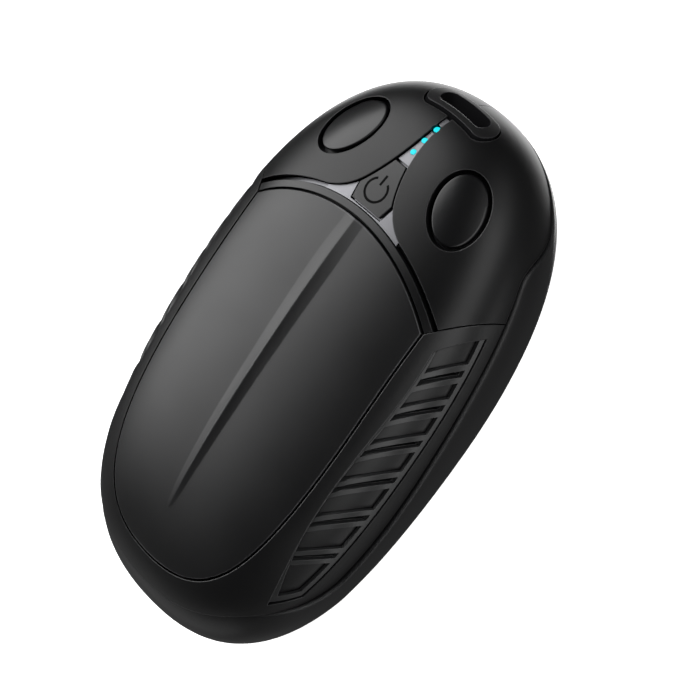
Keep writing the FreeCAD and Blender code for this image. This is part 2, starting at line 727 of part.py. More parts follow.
def screw_places(name, radius, height, foot):
    return [cylinder("%s%d" % (name, number), radius, height, x, y, foot)
            for number, (x, y) in enumerate(SCREWS)]


# Shells and band

def stadium_edges(width, height, y):
    """A slot shape standing across the body at a place along it, round the port's axis."""
    half = (width - height) / 2
    bow = height / 2
    rise = size("port_rise")

    def place(x, z):
        return Vector(x, y, rise + z)

    return [line(place(-half, bow), place(half, bow)),
            Part.Arc(place(half, bow), place(half + bow, 0), place(half, -bow)).toShape(),
            line(place(half, -bow), place(-half, -bow)),
            Part.Arc(place(-half, -bow), place(-half - bow, 0), place(-half, bow)).toShape()]


def port_tool(name, width, height, start):
    return prism(name, stadium_edges(width, height, start), AHEAD,
                 "Sizes.head_length + Sizes.overrun")


port_gap = 2 * size("seat_clearance")
bezel_room = 2 * size("bezel_gap")
port_hole = port_tool("port_hole", size("bezel_width") + bezel_room,
                      size("bezel_height") + bezel_room,
                      size("bezel_back") - size("seat_clearance"))
socket_hole = port_tool(
    "socket_hole", size("socket_width") + port_gap, size("socket_height") + port_gap,
    size("socket_front") - size("socket_length") - size("seat_clearance"))

panel_recess = cut("panel_recess", upright("panel_prism", panel_edges(0)),
                   pebble("plate_thickness", "seat_clearance"))
panel_hole = prism("panel_hole", window_edges(0), RISE,
                   "Sizes.front_height + Sizes.overrun")
head_ground = upright("head_ground", head_edges(size("panel_arc_radius"), 0))
head_cut = cut("head_cut", head_ground, pebble("head_recess"))
stem_hole = cylinder("stem_hole", "Sizes.stem_radius + Sizes.button_gap",
                     "Sizes.front_height + Sizes.overrun", y="Sizes.stem_ahead")
strip_length = ("(Sizes.lamp_count - 1) * Sizes.lamp_pitch + 2 * Sizes.strip_margin")
strip_middle = "Sizes.lamp_first + (Sizes.lamp_count - 1) * Sizes.lamp_pitch / 2"
strip_tool = box("strip_tool", "Sizes.strip_width + 2 * Sizes.seat_clearance",
                 strip_length + " + 2 * Sizes.seat_clearance",
                 "Sizes.front_height + Sizes.overrun", "0", strip_middle, "0")
strip_channel = cut("strip_channel", strip_tool,
                    pebble("head_recess", "strip_thickness", "seat_clearance"))

front_skin = common("front_skin", layer((), ("shell_wall",)), front_zone)
front_bosses = bundle("front_boss", screw_places(
    "front_boss", "Sizes.boss_radius", "Sizes.front_height + Sizes.boss_split",
    "-Sizes.boss_split"))
front_posts = common("front_posts", front_bosses, pebble("head_recess"))
front_body = fuse("front_body", front_skin, front_posts)
front_bores = bundle("front_bore", screw_places(
    "front_bore", "Sizes.screw_radius + Sizes.seat_clearance",
    "Sizes.screw_grip + Sizes.screw_radius", "-Sizes.boss_split"))
front_shell = node(cut(
    "front_shell", front_body, panel_recess, panel_hole, head_cut, *vent_cuts("front", 1),
    port_hole, socket_hole, stem_hole, strip_channel, front_bores), "front_shell")

back_recess = cut("back_recess", prism("back_prism", back_edges(0), -RISE,
                                       "Sizes.rear_height + Sizes.overrun"),
                  pebble("plate_thickness", "seat_clearance"))
back_hole = prism("back_hole", window_edges(0), -RISE, "Sizes.rear_height + Sizes.overrun")
rear_skin = common("rear_skin", layer((), ("shell_wall",)), rear_zone)
rear_bosses = bundle("rear_boss", screw_places(
    "rear_boss", "Sizes.boss_radius",
    "Sizes.rear_height - Sizes.boss_split - Sizes.seat_clearance", "-Sizes.rear_height"))
rear_posts = common("rear_posts", rear_bosses, pebble("plate_thickness", "seat_clearance"))
rear_body = fuse("rear_body", rear_skin, rear_posts)
rear_bores = bundle("rear_bore", screw_places(
    "rear_bore", "Sizes.screw_radius + Sizes.seat_clearance", "Sizes.rear_height",
    "-Sizes.rear_height"))
rear_sinks = bundle("rear_sink", screw_places(
    "rear_sink", "Sizes.screw_head_radius + Sizes.seat_clearance",
    "Sizes.rear_height - Sizes.screw_seat", "-Sizes.rear_height"))
rear_shell = node(cut(
    "rear_shell", rear_body, back_recess, back_hole, *vent_cuts("rear", -1),
    rear_bores, rear_sinks), "rear_shell")

band_crown = doc.addObject("Part::Feature", "band_crown")
band_crown.Shape = pebble_solid(
    HALF_WIDTH + size("band_swell"), size("head_length") + size("band_head_swell"),
    size("tail_length") + size("band_swell"), size("front_height"), size("rear_height"),
    size("band_round_share"), size("band_round_share"))
band_ring = cut("band_ring", band_crown, pebble("band_wall"))
waist_band = node(common("waist_band", band_ring, band_zone), "waist_band")
for name, side in (("front", 1), ("rear", -1)):
    node(grilles(name, side), name + "_grilles")


# Heat plates

def ridge_solid():
    """A sharp crest with hollow flanks along the front plate, soft at both ends."""
    station_shares = (0, 0.08, 0.18, 0.36, 0.56, 0.76, 0.9, 1)
    height_shares = (0.04, 0.4, 0.7, 1, 1, 0.9, 0.65, 0.45)
    width_shares = (0.45, 0.62, 0.72, 0.85, 1, 1.15, 1.25, 1.3)
    waist_share = 0.4
    run = size("panel_front") + size("ridge_tail")
    sections = []
    for share, height_share, width_share in zip(station_shares, height_shares, width_shares):
        y = share * run - size("ridge_tail")
        half = size("ridge_half_width") * width_share
        crown = crown_point(0, y)[0]
        crest = crown + RISE * (size("ridge_height") * height_share)
        waist = crown_point(half * waist_share, y)[0]
        foot = crown_point(half, y)[0] - RISE * size("ridge_root")
        keel = crown - RISE * (size("plate_thickness") / 2)
        flank = Part.BezierCurve()
        flank.setPoles([crest, waist, foot])
        flank = flank.toShape()
        other = flank.mirror(Vector(), ACROSS)
        other_foot = Vector(-foot.x, foot.y, foot.z)
        sections.append(Part.Wire(Part.__sortEdges__(
            [flank, line(foot, keel), line(keel, other_foot), other])))
    return Part.makeLoft(sections, True, False)


plate_skin = layer((), ("plate_thickness",))
plate_prism = prism("plate_prism", panel_edges(size("plate_gap")), RISE,
                    "Sizes.front_height + Sizes.overrun")
ridge = doc.addObject("Part::Feature", "ridge")
ridge.Shape = ridge_solid()
ridge_cut = common("ridge_cut", ridge, plate_prism)
front_plate = common("front_plate", plate_skin, plate_prism)
node(fuse("front_heat_plate", front_plate, ridge_cut), "front_heat_plate")

back_plate_prism = prism("back_plate_prism", back_edges(size("plate_gap")), -RISE,
                         "Sizes.rear_height + Sizes.overrun")
node(common("rear_heat_plate", plate_skin, back_plate_prism), "rear_heat_plate")

film_skin = layer(("plate_thickness", "seat_clearance"),
                  ("plate_thickness", "seat_clearance", "film_thickness"))
for side, along in (("front", RISE), ("rear", -RISE)):
    film_prism = prism(side + "_film_prism", window_edges(size("film_margin")), along,
                       "Sizes.front_height + Sizes.overrun")
    node(common(side + "_heater_film", film_skin, film_prism), side + "_heater_film")


# The head's trim

head_floor_depths = ("head_recess",)
trim_foot = ("trim_depth",)
lamp_bores = [cylinder("lamp_bore%d" % number, "Sizes.lens_radius + Sizes.lens_clearance",
                       "Sizes.front_height + Sizes.overrun",
                       y="Sizes.lamp_first + %d * Sizes.lamp_pitch" % number)
              for number in range(len(LAMPS))]
lamp_bore_set = bundle("lamp_bores", lamp_bores)


def lamp_blocks(name, side):
    return [box("%s%d" % (name, number), side, side, "Sizes.front_height + Sizes.overrun", "0",
                "Sizes.lamp_first + %d * Sizes.lamp_pitch" % number, "0")
            for number in range(len(LAMPS))]


def arch_edges():
    inner = size("panel_arc_radius") + size("arch_gap")
    outer = inner + size("arch_width")
    inner_corner = shoulder_point(inner, size("seam_gap"))
    outer_corner = shoulder_point(outer, size("seam_gap"))
    ends = [line(inner_corner, outer_corner)]
    return ends + mirrored(ends) + [
        arc_about(ARCH_CENTRE, corner, Vector(-corner.x, corner.y, 0))
        for corner in (inner_corner, outer_corner)]


node(common("arch_trim", layer(("arch_sink",), trim_foot),
            upright("arch_prism", arch_edges()), front_zone), "arch_trim")

def dish_solid(turn):
    """The hollow of the right thumb rest, which runs out at the disc's rim."""
    reach_share = 1.04
    section_shares = ((-1.1, 0.64), (-0.55, 1), (0, 1.1), (0.55, 1), (1.1, 0.64))
    long_half = size("eye_length") / 2 - size("eye_gap")
    short_half = size("eye_width") / 2 - size("eye_gap")
    roof = size("front_height") + size("overrun")
    sections = []
    for along, width in section_shares:
        points = []
        for across in (-width, 0, width):
            place = EYE + Rotation(RISE, turn).multVec(
                Vector(along * long_half, across * short_half, 0))
            fall = 1 - (along ** 2 + across ** 2) / reach_share ** 2
            points.append(crown_point(place.x, place.y, "eye_sink")[0]
                          - RISE * (size("dish_depth") * fall))
        left, right = (Vector(point.x, point.y, roof) for point in (points[0], points[2]))
        sections.append(Part.Wire([Part.Arc(*points).toShape(), line(points[2], right),
                                   line(right, left), line(left, points[0])]))
    return Part.makeLoft(sections, True, False)


pad_skin = common("pad_skin", layer((), trim_foot), front_zone)
right_dish = dish_solid(90 + size("eye_lean"))
ring_bore = cylinder("ring_bore", "Sizes.lens_radius + Sizes.lamp_ring",
                     "Sizes.front_height + Sizes.overrun",
                     y="Sizes.lamp_first + (Sizes.lamp_count - 1) * Sizes.lamp_pitch")
for name, side in (("right", 1), ("left", -1)):
    edges = pad_edges() if side > 0 else mirrored(pad_edges())
    centre = Vector(side * EYE.x, EYE.y, 0)
    turn = 90 + side * size("eye_lean")
    hole = upright(name + "_eye_hole", eye_edges(centre, turn, 0))
    node(cut("head_pad_" + name,
             common("pad_" + name, pad_skin, upright(name + "_pad_prism", edges)),
             hole, port_hole, socket_hole, lamp_bore_set, ring_bore), "head_pad_" + name)
    disc = common("disc_" + name, layer(("eye_sink",), trim_foot),
                  upright(name + "_eye_prism", eye_edges(centre, turn, size("eye_gap"))),
                  front_zone)
    dish = doc.addObject("Part::Feature", name + "_dish")
    dish.Shape = right_dish if side > 0 else right_dish.mirror(Vector(), ACROSS)
    node(cut("eye_disc_" + name, disc, dish), "eye_disc_" + name)

guide_skin = layer(("guide_sink",), trim_foot)
guide_prism = upright("guide_prism", guide_edges())
reach = size("guide_reach")
wide = size("body_width")
arm_boxes = [upright("arm_%s" % name, polygon([
    Vector(near, 0, 0), Vector(far, 0, 0), Vector(far, FAR, 0), Vector(near, FAR, 0)]))
    for name, near, far in (("right", reach, wide), ("left", -reach, -wide))]
arm_cut = cut("arm_cut", bundle("arms", arm_boxes), pebble("arm_sink"))
well_cut = cut("well_cut", upright("button_well", button_well_edges()), pebble("arm_sink"))
lens_wells = cut("lens_wells", lamp_bore_set, pebble("led_sink"))
ring_cut = cut("ring_cut", ring_bore, pebble("guide_sink", "lens_sink"))
led_wells = bundle("led_wells", lamp_blocks(
    "led_well", "Sizes.led_width + 2 * Sizes.lens_clearance"))
node(cut("light_guide", common("guide_body", guide_skin, guide_prism, front_zone),
         arm_cut, well_cut, stem_hole, lens_wells, led_wells, ring_cut), "light_guide")
node(cut("guide_tip", common("tip_body", layer(("tip_sink",), trim_foot),
                              upright("tip_prism", tip_edges()), front_zone),
         port_hole, socket_hole), "guide_tip")

lens_bars = [cylinder("lens_bar%d" % number, "Sizes.lens_radius",
                      "Sizes.front_height + Sizes.overrun",
                      y="Sizes.lamp_first + %d * Sizes.lamp_pitch" % number)
             for number in range(len(LAMPS))]
node(common("lamp_lenses", bundle("lens_bars", lens_bars),
            layer(("lens_sink",), ("lens_sink", "lens_length"))), "lamp_lenses")
node(common("lamp_leds", bundle("led_bars", lamp_blocks("led_bar", "Sizes.led_width")),
            layer(("led_sink",), head_floor_depths)), "lamp_leds")
strip_bar = box("strip_bar", "Sizes.strip_width", strip_length,
                "Sizes.front_height + Sizes.overrun", "0", strip_middle, "0")
node(common("lamp_strip", strip_bar,
            layer(head_floor_depths, head_floor_depths + ("strip_thickness",))), "lamp_strip")


# Power button and switch

cap = common("button_cap", layer(("button_sink",), ("button_sink", "button_cap")),
             prism("button_prism", button_edges(size("button_gap")), RISE,
                   "Sizes.front_height + Sizes.overrun"))
stem_bar = cylinder("stem_bar", "Sizes.stem_radius", "Sizes.front_height + Sizes.overrun",
                    y="Sizes.stem_ahead", z=PLUNGER_TOP)
stem = common("button_stem", stem_bar, pebble("button_sink", "seat_clearance"))
collar = cylinder("button_collar", "Sizes.collar_radius", "Sizes.collar_height",
                  y="Sizes.stem_ahead",
                  z="%.6f - Sizes.collar_gap - Sizes.collar_height" % deck_foot)
node(fuse("power_button", cap, stem, collar), "power_button")


# Sketched pieces

def sketch_on(body, role, name, x="0", y="0", z="0"):
    """A sketch on one of the body's own planes, moved by the named sizes."""
    sketch = body.newObject("Sketcher::SketchObject", name)
    plane = next(part for part in body.Origin.OriginFeatures if part.Role == role)
    sketch.AttachmentSupport = [(plane, "")]
    sketch.MapMode = "FlatFace"
    return bind(sketch, AttachmentOffset__Base__x=x, AttachmentOffset__Base__y=y,
                AttachmentOffset__Base__z=z)


def constrain(sketch, name, expression, *constraint):
    index = sketch.addConstraint(Sketcher.Constraint(*constraint))
    sketch.renameConstraint(index, name)
    sketch.setExpression("Constraints." + name, expression)


def rectangle(sketch, width, height):
    """A rectangle about the sketch's origin."""
    corners = [Vector(-1, -1, 0), Vector(1, -1, 0), Vector(1, 1, 0), Vector(-1, 1, 0)]
    for start, end in zip(corners, corners[1:] + corners[:1]):
        sketch.addGeometry(Part.LineSegment(start, end))
    for side in range(4):
        sketch.addConstraint(Sketcher.Constraint("Coincident", side, 2, (side + 1) % 4, 1))
        level = "Horizontal" if side % 2 == 0 else "Vertical"
        sketch.addConstraint(Sketcher.Constraint(level, side))
    sketch.addConstraint(Sketcher.Constraint("Symmetric", 0, 1, 2, 1, -1, 1))
    constrain(sketch, "width", width, "DistanceX", 0, 1, 0, 2, 1)
    constrain(sketch, "height", height, "DistanceY", 1, 1, 1, 2, 1)
    return sketch


def circle(sketch, radius):
    """A circle about the sketch's origin."""
    sketch.addGeometry(Part.Circle(Vector(), RISE, 1))
    sketch.addConstraint(Sketcher.Constraint("Coincident", 0, 3, -1, 1))
    constrain(sketch, "radius", radius, "Radius", 0, 1)
    return sketch


def twin_outline(sketch, corners):
    """A closed outline through named corners, the same on both sides of the Y axis."""
    right = [Vector(size(x), size(y), 0) for x, y in corners]
    left = [Vector(-point.x, point.y, 0) for point in reversed(right)]
    points = right + left
    count = len(points)
    for start, end in zip(points, points[1:] + points[:1]):
        sketch.addGeometry(Part.LineSegment(start, end))
    for side in range(count):
        sketch.addConstraint(Sketcher.Constraint("Coincident", side, 2, (side + 1) % count, 1))
    for number, (x, y) in enumerate(corners):
        constrain(sketch, x, "Sizes." + x, "DistanceX", -1, 1, number, 1, size(x))
        constrain(sketch, y, "Sizes." + y, "DistanceY", -1, 1, number, 1, size(y))
        twin = count - 1 - number
        sketch.addConstraint(Sketcher.Constraint("Symmetric", number, 1, twin, 1, -2))
    return sketch


def pad(body, sketch, length):
    feature = body.newObject("PartDesign::Pad", sketch.Name + "_pad")
    feature.Profile = sketch
    bind(feature, Length=length)
    body.Tip = feature
    return feature


def pocket(body, sketch, length):
    feature = body.newObject("PartDesign::Pocket", sketch.Name + "_pocket")
    feature.Profile = sketch
    bind(feature, Length=length)
    body.Tip = feature
    return feature


def new_body(name):
    return doc.addObject("PartDesign::Body", name + "_body")


plunger = new_body("switch_plunger")
pad(plunger, circle(sketch_on(
    plunger, "XY_Plane", "plunger_round", y="Sizes.stem_ahead",
    z="%s - Sizes.plunger_stand - Sizes.plunger_sunk" % PLUNGER_TOP), "Sizes.plunger_radius"),
    "Sizes.plunger_stand + Sizes.plunger_sunk")
node(plunger, "switch_plunger")

switch = new_body("switch_body")
pad(switch, rectangle(sketch_on(
    switch, "XY_Plane", "switch_square", y="Sizes.stem_ahead", z=BOARD_TOP),
    "Sizes.switch_size", "Sizes.switch_size"), "Sizes.switch_height")
pocket(switch, circle(sketch_on(
    switch, "XY_Plane", "switch_bore", y="Sizes.stem_ahead",
    z=BOARD_TOP + " + Sizes.switch_height"), "Sizes.plunger_radius + Sizes.plunger_clearance"),
    "Sizes.plunger_sunk + Sizes.plunger_room")
node(switch, "switch_body")


# Charging port

def slot_bar(name, width, height, start, length):
    return prism(name, stadium_edges(width, height, start), AHEAD, length)


bezel_crown = doc.addObject("Part::Feature", "bezel_crown")
bezel_crown.Shape = pebble_solid(
    HALF_WIDTH + size("bezel_stand"), size("head_length") + size("bezel_stand"),
    size("tail_length") + size("bezel_stand"), size("front_height") + size("bezel_stand"),
    size("rear_height"), size("front_round_share"), size("rear_round_share"))
bezel_bar = port_tool("bezel_bar", size("bezel_width"), size("bezel_height"), size("bezel_back"))
bezel_seat = slot_bar("bezel_seat", size("socket_width") + port_gap,
                      size("socket_height") + port_gap,
                      size("bezel_back") - size("seat_clearance"),
                      "Sizes.socket_front - Sizes.bezel_back + 2 * Sizes.seat_clearance")
mouth_sections = []
for name, y, flare in (("inner", size("socket_front"), 0),
                       ("outer", size("head_length") + size("bezel_stand"), size("slot_flare"))):
    section = doc.addObject("Part::Feature", "slot_%s_section" % name)
    section.Shape = Part.Wire(stadium_edges(size("slot_width") + 2 * flare,
                                            size("slot_height") + 2 * flare, y))
    mouth_sections.append(section)
mouth = doc.addObject("Part::Loft", "port_mouth")
mouth.Sections = mouth_sections
mouth.Solid = True
mouth.Ruled = True
node(cut("port_bezel", common("bezel_body", bezel_bar, bezel_crown), bezel_seat, mouth),
     "port_bezel")

socket_start = size("socket_front") - size("socket_length")
bore_shrink = 2 * size("socket_wall")
socket_outer = slot_bar("socket_outer", size("socket_width"), size("socket_height"),
                        socket_start, "Sizes.socket_length")
socket_inner = slot_bar("socket_inner", size("socket_width") - bore_shrink,
                        size("socket_height") - bore_shrink, socket_start - size("seat_clearance"),
                        "Sizes.socket_length + 2 * Sizes.seat_clearance")
node(cut("socket_shell", socket_outer, socket_inner), "socket_shell")
insulator_shrink = bore_shrink + size("seat_clearance")
insulator = slot_bar("insulator", size("socket_width") - insulator_shrink,
                     size("socket_height") - insulator_shrink, socket_start, "Sizes.socket_floor")
tongue = box("tongue", "Sizes.tongue_width", "Sizes.socket_length - Sizes.tongue_short",
             "Sizes.tongue_thickness", "0",
             "Sizes.socket_front - Sizes.socket_length / 2 - Sizes.tongue_short / 2",
             "Sizes.port_rise - Sizes.tongue_thickness / 2")
node(fuse("socket_tongue", insulator, tongue), "socket_tongue")


# Main board

board = new_body("main_board")
pad(board, twin_outline(sketch_on(board, "XY_Plane", "board_outline", z=BOARD_FOOT), [
    ("board_back_half", "board_back"), ("board_shoulder_half", "board_shoulder"),
    ("board_front_half", "board_front")]), "Sizes.board_thickness")
for name, side in (("right", ""), ("left", "-")):
    pocket(board, circle(sketch_on(
        board, "XY_Plane", "board_hole_" + name, x=side + "Sizes.head_screw_side",
        y="Sizes.head_screw_ahead", z=BOARD_TOP), "Sizes.boss_radius + Sizes.seat_clearance"),
        "Sizes.board_thickness")
node(board, "main_board")

chip = new_body("controller_chip")
pad(chip, rectangle(sketch_on(chip, "XY_Plane", "chip_square", x="-Sizes.chip_side",
                              y="Sizes.chip_ahead", z=BOARD_TOP),
                    "Sizes.chip_size", "Sizes.chip_size"), "Sizes.chip_height")
node(chip, "controller_chip")

coil = new_body("power_coil")
pad(coil, circle(sketch_on(coil, "XY_Plane", "coil_round", x="Sizes.chip_side",
                           y="Sizes.chip_ahead", z=BOARD_TOP), "Sizes.coil_radius"),
    "Sizes.coil_height")
node(coil, "power_coil")


# Cells and cradle

CELL_MIDDLE = "(Sizes.cell_front - Sizes.cell_length / 2)"
CELL_FOOTS = {"upper": "(Sizes.cell_tape / 2)",
              "lower": "(-Sizes.cell_tape / 2 - Sizes.cell_height)"}
for name, foot in CELL_FOOTS.items():
    cell = new_body("cell_" + name)
    block = pad(cell, rectangle(sketch_on(
        cell, "XY_Plane", "cell_%s_outline" % name, y=CELL_MIDDLE, z=foot),
        "Sizes.cell_width", "Sizes.cell_length"), "Sizes.cell_height")
    doc.recompute()
    rounding = cell.newObject("PartDesign::Fillet", "cell_%s_round" % name)
    rounding.Base = (block, ["Edge%d" % (n + 1) for n in range(len(block.Shape.Edges))])
    bind(rounding, Radius="Sizes.cell_round")
    cell.Tip = rounding
    tabs = [box("tab_%s_%s" % (name, hand), "Sizes.tab_width",
                "Sizes.tab_length + Sizes.cell_round", "Sizes.tab_thickness",
                side + "Sizes.tab_side",
                "Sizes.cell_front + Sizes.tab_length / 2 - Sizes.cell_round / 2",
                foot + " + Sizes.cell_height / 2 - Sizes.tab_thickness / 2")
            for hand, side in (("right", ""), ("left", "-"))]
    node(fuse("battery_cell_" + name, cell, *tabs), "battery_cell_" + name)

CRADLE_FOOT = ("(-Sizes.cell_tape / 2 - Sizes.cell_height - Sizes.seat_clearance"
               " - Sizes.cradle_wall)")
tray = new_body("cradle_tray")
pad(tray, rectangle(sketch_on(
    tray, "XY_Plane", "tray_outline",
    y=CELL_MIDDLE + " - (Sizes.seat_clearance + Sizes.cradle_wall) / 2", z=CRADLE_FOOT),
    "Sizes.cell_width + 2 * (Sizes.seat_clearance + Sizes.cradle_wall)",
    "Sizes.cell_length + Sizes.seat_clearance + Sizes.cradle_wall"), "Sizes.cradle_height")
pocket(tray, rectangle(sketch_on(
    tray, "XY_Plane", "tray_room", y=CELL_MIDDLE, z=CRADLE_FOOT + " + Sizes.cradle_height"),
    "Sizes.cell_width + 2 * Sizes.seat_clearance",
    "Sizes.cell_length + 2 * Sizes.seat_clearance"),
    "Sizes.cradle_height - Sizes.cradle_wall")
fin_bars = [box("fin_bar%d" % number, "Sizes.body_width", "Sizes.cradle_fin",
                "Sizes.cradle_fin_height", "0",
                CELL_MIDDLE + side + "Sizes.cradle_fin_place", CRADLE_FOOT)
            for number, side in enumerate((" - ", " + "))]
fins = common("cradle_fins", bundle("fin_bars", fin_bars), pebble("shell_wall", "seat_clearance"))
cell_room = box("cell_room", "Sizes.cell_width + 2 * Sizes.seat_clearance",
                "Sizes.cell_length + 2 * Sizes.seat_clearance", "Sizes.cradle_height", "0",
                CELL_MIDDLE, CRADLE_FOOT + " + Sizes.cradle_wall")
node(cut("cell_cradle", fuse("cradle_whole", tray, fins), cell_room), "cell_cradle")


# Foam, sensor and leads

film_foot = ("plate_thickness", "seat_clearance", "film_thickness")
foam_core = pebble(*film_foot, "seat_clearance")
cell_top = size("cell_tape") / 2 + size("cell_height")
FOAM_FLOORS = {"front": cell_top + size("seat_clearance"),
               "rear": -cell_top - size("cradle_wall") - 2 * size("seat_clearance")}
for name, floor in FOAM_FLOORS.items():
    edges = [edge.translated(RISE * floor) for edge in window_edges(size("foam_margin"))]
    foam_bar = prism(name + "_foam_bar", edges, RISE if floor > 0 else -RISE,
                     "Sizes.front_height")
    node(common(name + "_foam_pad", foam_bar, foam_core), name + "_foam_pad")

bead_bar = cylinder("bead_bar", "Sizes.bead_radius", "Sizes.front_height + Sizes.overrun",
                    x="Sizes.bead_side", y="Sizes.bead_ahead")
node(common("temperature_sensor", bead_bar,
            layer(film_foot + ("seat_clearance",),
                  film_foot + ("seat_clearance", "bead_height"))), "temperature_sensor")


def lead(name, points):
    """An insulated wire along straight runs joined by round bends."""
    bend = size("lead_bend")
    edges = []
    start = points[0]
    for corner, end in zip(points[1:-1], points[2:]):
        before = (corner - start).normalize()
        after = (end - corner).normalize()
        setback = bend * math.tan(before.getAngle(after) / 2)
        entry = corner - before * setback
        leave = corner + after * setback
        inward = (after - before).normalize()
        centre = corner + inward * math.hypot(bend, setback)
        edges += [line(start, entry),
                  Part.Arc(entry, centre - inward * bend, leave).toShape()]
        start = leave
    edges.append(line(start, points[-1]))
    spine = Part.Wire(edges)
    section = Part.Wire([Part.Circle(points[0], points[1] - points[0],
                                     size("lead_radius")).toShape()])
    wire = doc.addObject("Part::Feature", name)
    wire.Shape = spine.makePipe(Part.Face(section))
    print("%s is %.4f of section times length" % (
        name, wire.Shape.Volume / (math.pi * size("lead_radius") ** 2 * spine.Length)))
    return wire


board_top = size("port_rise") - size("socket_height") / 2
board_foot = board_top - size("board_thickness")
touch = size("seat_clearance")
lead_rise = (-size("cell_tape") / 2 - size("cell_height") / 2 + size("tab_thickness") / 2
             + size("lead_radius") + touch)
cell_leads = [lead("cell_lead_" + hand, [
    Vector(x, size("cell_front") + size("tab_length") / 2, lead_rise),
    Vector(x, size("cell_lead_end"), lead_rise),
    Vector(x, size("cell_lead_end"), board_foot - touch)])
    for hand, x in (("right", size("tab_side")), ("left", -size("tab_side")))]
node(bundle("battery_leads", cell_leads), "battery_leads")


def heater_leads(name, film_z, run_z, board_z):
    wires = []
    for hand, side in (("right", 1), ("left", -1)):
        x = side * size("heater_lead_side")
        start, end = size("heater_lead_start"), size("heater_lead_end")
        wires.append(lead("%s_lead_%s" % (name, hand), [
            Vector(x, start, film_z), Vector(x, start, run_z), Vector(x, end, run_z),
            Vector(x, end, board_z)]))
    node(bundle(name + "_heater_leads", wires), name + "_heater_leads")


lead_end = size("heater_lead_side") + size("lead_radius")
film_under = crown_point(lead_end, size("heater_lead_start"), *film_foot)[0].z
film_over = crown_point(lead_end, size("heater_lead_start"), *film_foot, side=-1)[0].z
heater_leads("front", film_under - touch, size("front_lead_rise"), board_top + touch)
heater_leads("rear", film_over + touch, -size("rear_lead_drop"), board_foot - touch)


# Screws

shanks = screw_places("screw_shank", "Sizes.screw_radius",
                      "Sizes.screw_seat - Sizes.boss_split + Sizes.screw_grip",
                      "-Sizes.screw_seat")
heads = screw_places("screw_head", "Sizes.screw_head_radius", "Sizes.screw_head_height",
                     "-Sizes.screw_seat - Sizes.screw_head_height")
node(bundle("case_screws", [fuse("screw%d" % number, head, shank)
                            for number, (head, shank) in enumerate(zip(heads, shanks))]),
     "case_screws")


# Checks and files

doc.recompute()
faults = [thing.Label for thing in doc.Objects
          if "Invalid" in thing.State or "Error" in thing.State]
faults += [thing.Label for thing in nodes
           if thing.Shape.isNull() or not thing.Shape.isValid() or not thing.Shape.Solids]
if faults:
    raise RuntimeError("these did not build: " + ", ".join(faults))
os.makedirs("parts", exist_ok=True)
for thing in nodes:
    thing.Shape.exportStep("parts/%s.step" % thing.Label)
    print("%-20s %d solids %10.2f mm3" % (thing.Label, len(thing.Shape.Solids),
                                          thing.Shape.Volume))
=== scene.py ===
# %% [markdown]
# # A rechargeable hand warmer
# The object is a palm-sized pebble: two moulded shells, a bumper band round the waist, an
# anodised heat plate on each side and a beetle-like head with two thumb rests, a button, three
# lamps and a charging port. Its solid shapes come from the CAD model, which is loaded first and
# never changed. This lesson adds what CAD leaves out: finishes with softened edges, the faces of
# the thumb rests, small printed and plated details, and a studio.

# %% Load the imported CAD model
import math

import bpy
from mathutils import Matrix, Vector


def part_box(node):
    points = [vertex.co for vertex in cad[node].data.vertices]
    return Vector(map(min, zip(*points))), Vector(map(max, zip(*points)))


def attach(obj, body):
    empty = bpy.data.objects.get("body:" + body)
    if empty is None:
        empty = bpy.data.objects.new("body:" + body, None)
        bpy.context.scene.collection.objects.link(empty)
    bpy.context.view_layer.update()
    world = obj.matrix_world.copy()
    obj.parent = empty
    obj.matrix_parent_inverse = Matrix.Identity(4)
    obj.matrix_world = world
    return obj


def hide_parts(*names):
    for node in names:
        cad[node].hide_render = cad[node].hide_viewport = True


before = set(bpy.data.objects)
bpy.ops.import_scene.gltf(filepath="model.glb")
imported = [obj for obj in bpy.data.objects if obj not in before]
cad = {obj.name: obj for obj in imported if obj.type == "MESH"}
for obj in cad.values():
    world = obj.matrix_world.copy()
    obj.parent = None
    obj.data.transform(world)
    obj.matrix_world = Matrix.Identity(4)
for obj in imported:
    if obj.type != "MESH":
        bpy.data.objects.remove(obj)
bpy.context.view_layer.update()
bpy.ops.object.select_all(action="DESELECT")
MM = 0.001

# %% [markdown]
# ## The camera
# The warmer is seen from above its right flank, with the camera rolled so that the head points
# up and to the right. It could be placed by eye, but the place, lens and roll were found by
# fitting the outline of the pebble to the photograph, which also settles the proportions. A
# small lens shift keeps the object where it is in the frame.

# %% Camera
AIM = Vector((0, 1.75, 16.5)) * MM
DISTANCE = 407.1 * MM
AZIMUTH, ELEVATION, ROLL = 2.01141, 0.98578, -1.35287
FOCAL_PIXELS, FRAME_PIXELS, SENSOR_MM = 2425.3, 700, 36.0
SHIFT_RIGHT_PIXELS, SHIFT_UP_PIXELS = 21.3, 2.93
back = Vector((math.cos(ELEVATION) * math.sin(AZIMUTH),
               -math.cos(ELEVATION) * math.cos(AZIMUTH), math.sin(ELEVATION)))
level = Vector((0, 0, 1)).cross(back).normalized()
upright = back.cross(level)
image_right = math.cos(ROLL) * level + math.sin(ROLL) * upright
image_up = math.cos(ROLL) * upright - math.sin(ROLL) * level
bpy.ops.object.camera_add()
camera = bpy.context.object
camera.name = "photo_camera"
camera.matrix_world = (Matrix.Translation(AIM + back * DISTANCE)
                       @ Matrix((image_right, image_up, back)).transposed().to_4x4())
camera.data.sensor_width = SENSOR_MM
camera.data.lens = FOCAL_PIXELS / FRAME_PIXELS * SENSOR_MM
camera.data.shift_x = SHIFT_RIGHT_PIXELS / FRAME_PIXELS
camera.data.shift_y = SHIFT_UP_PIXELS / FRAME_PIXELS
camera.data.clip_start = DISTANCE / 20
bpy.context.scene.camera = camera
print("camera", tuple(round(x, 4) for x in camera.location), "lens", round(camera.data.lens, 1))

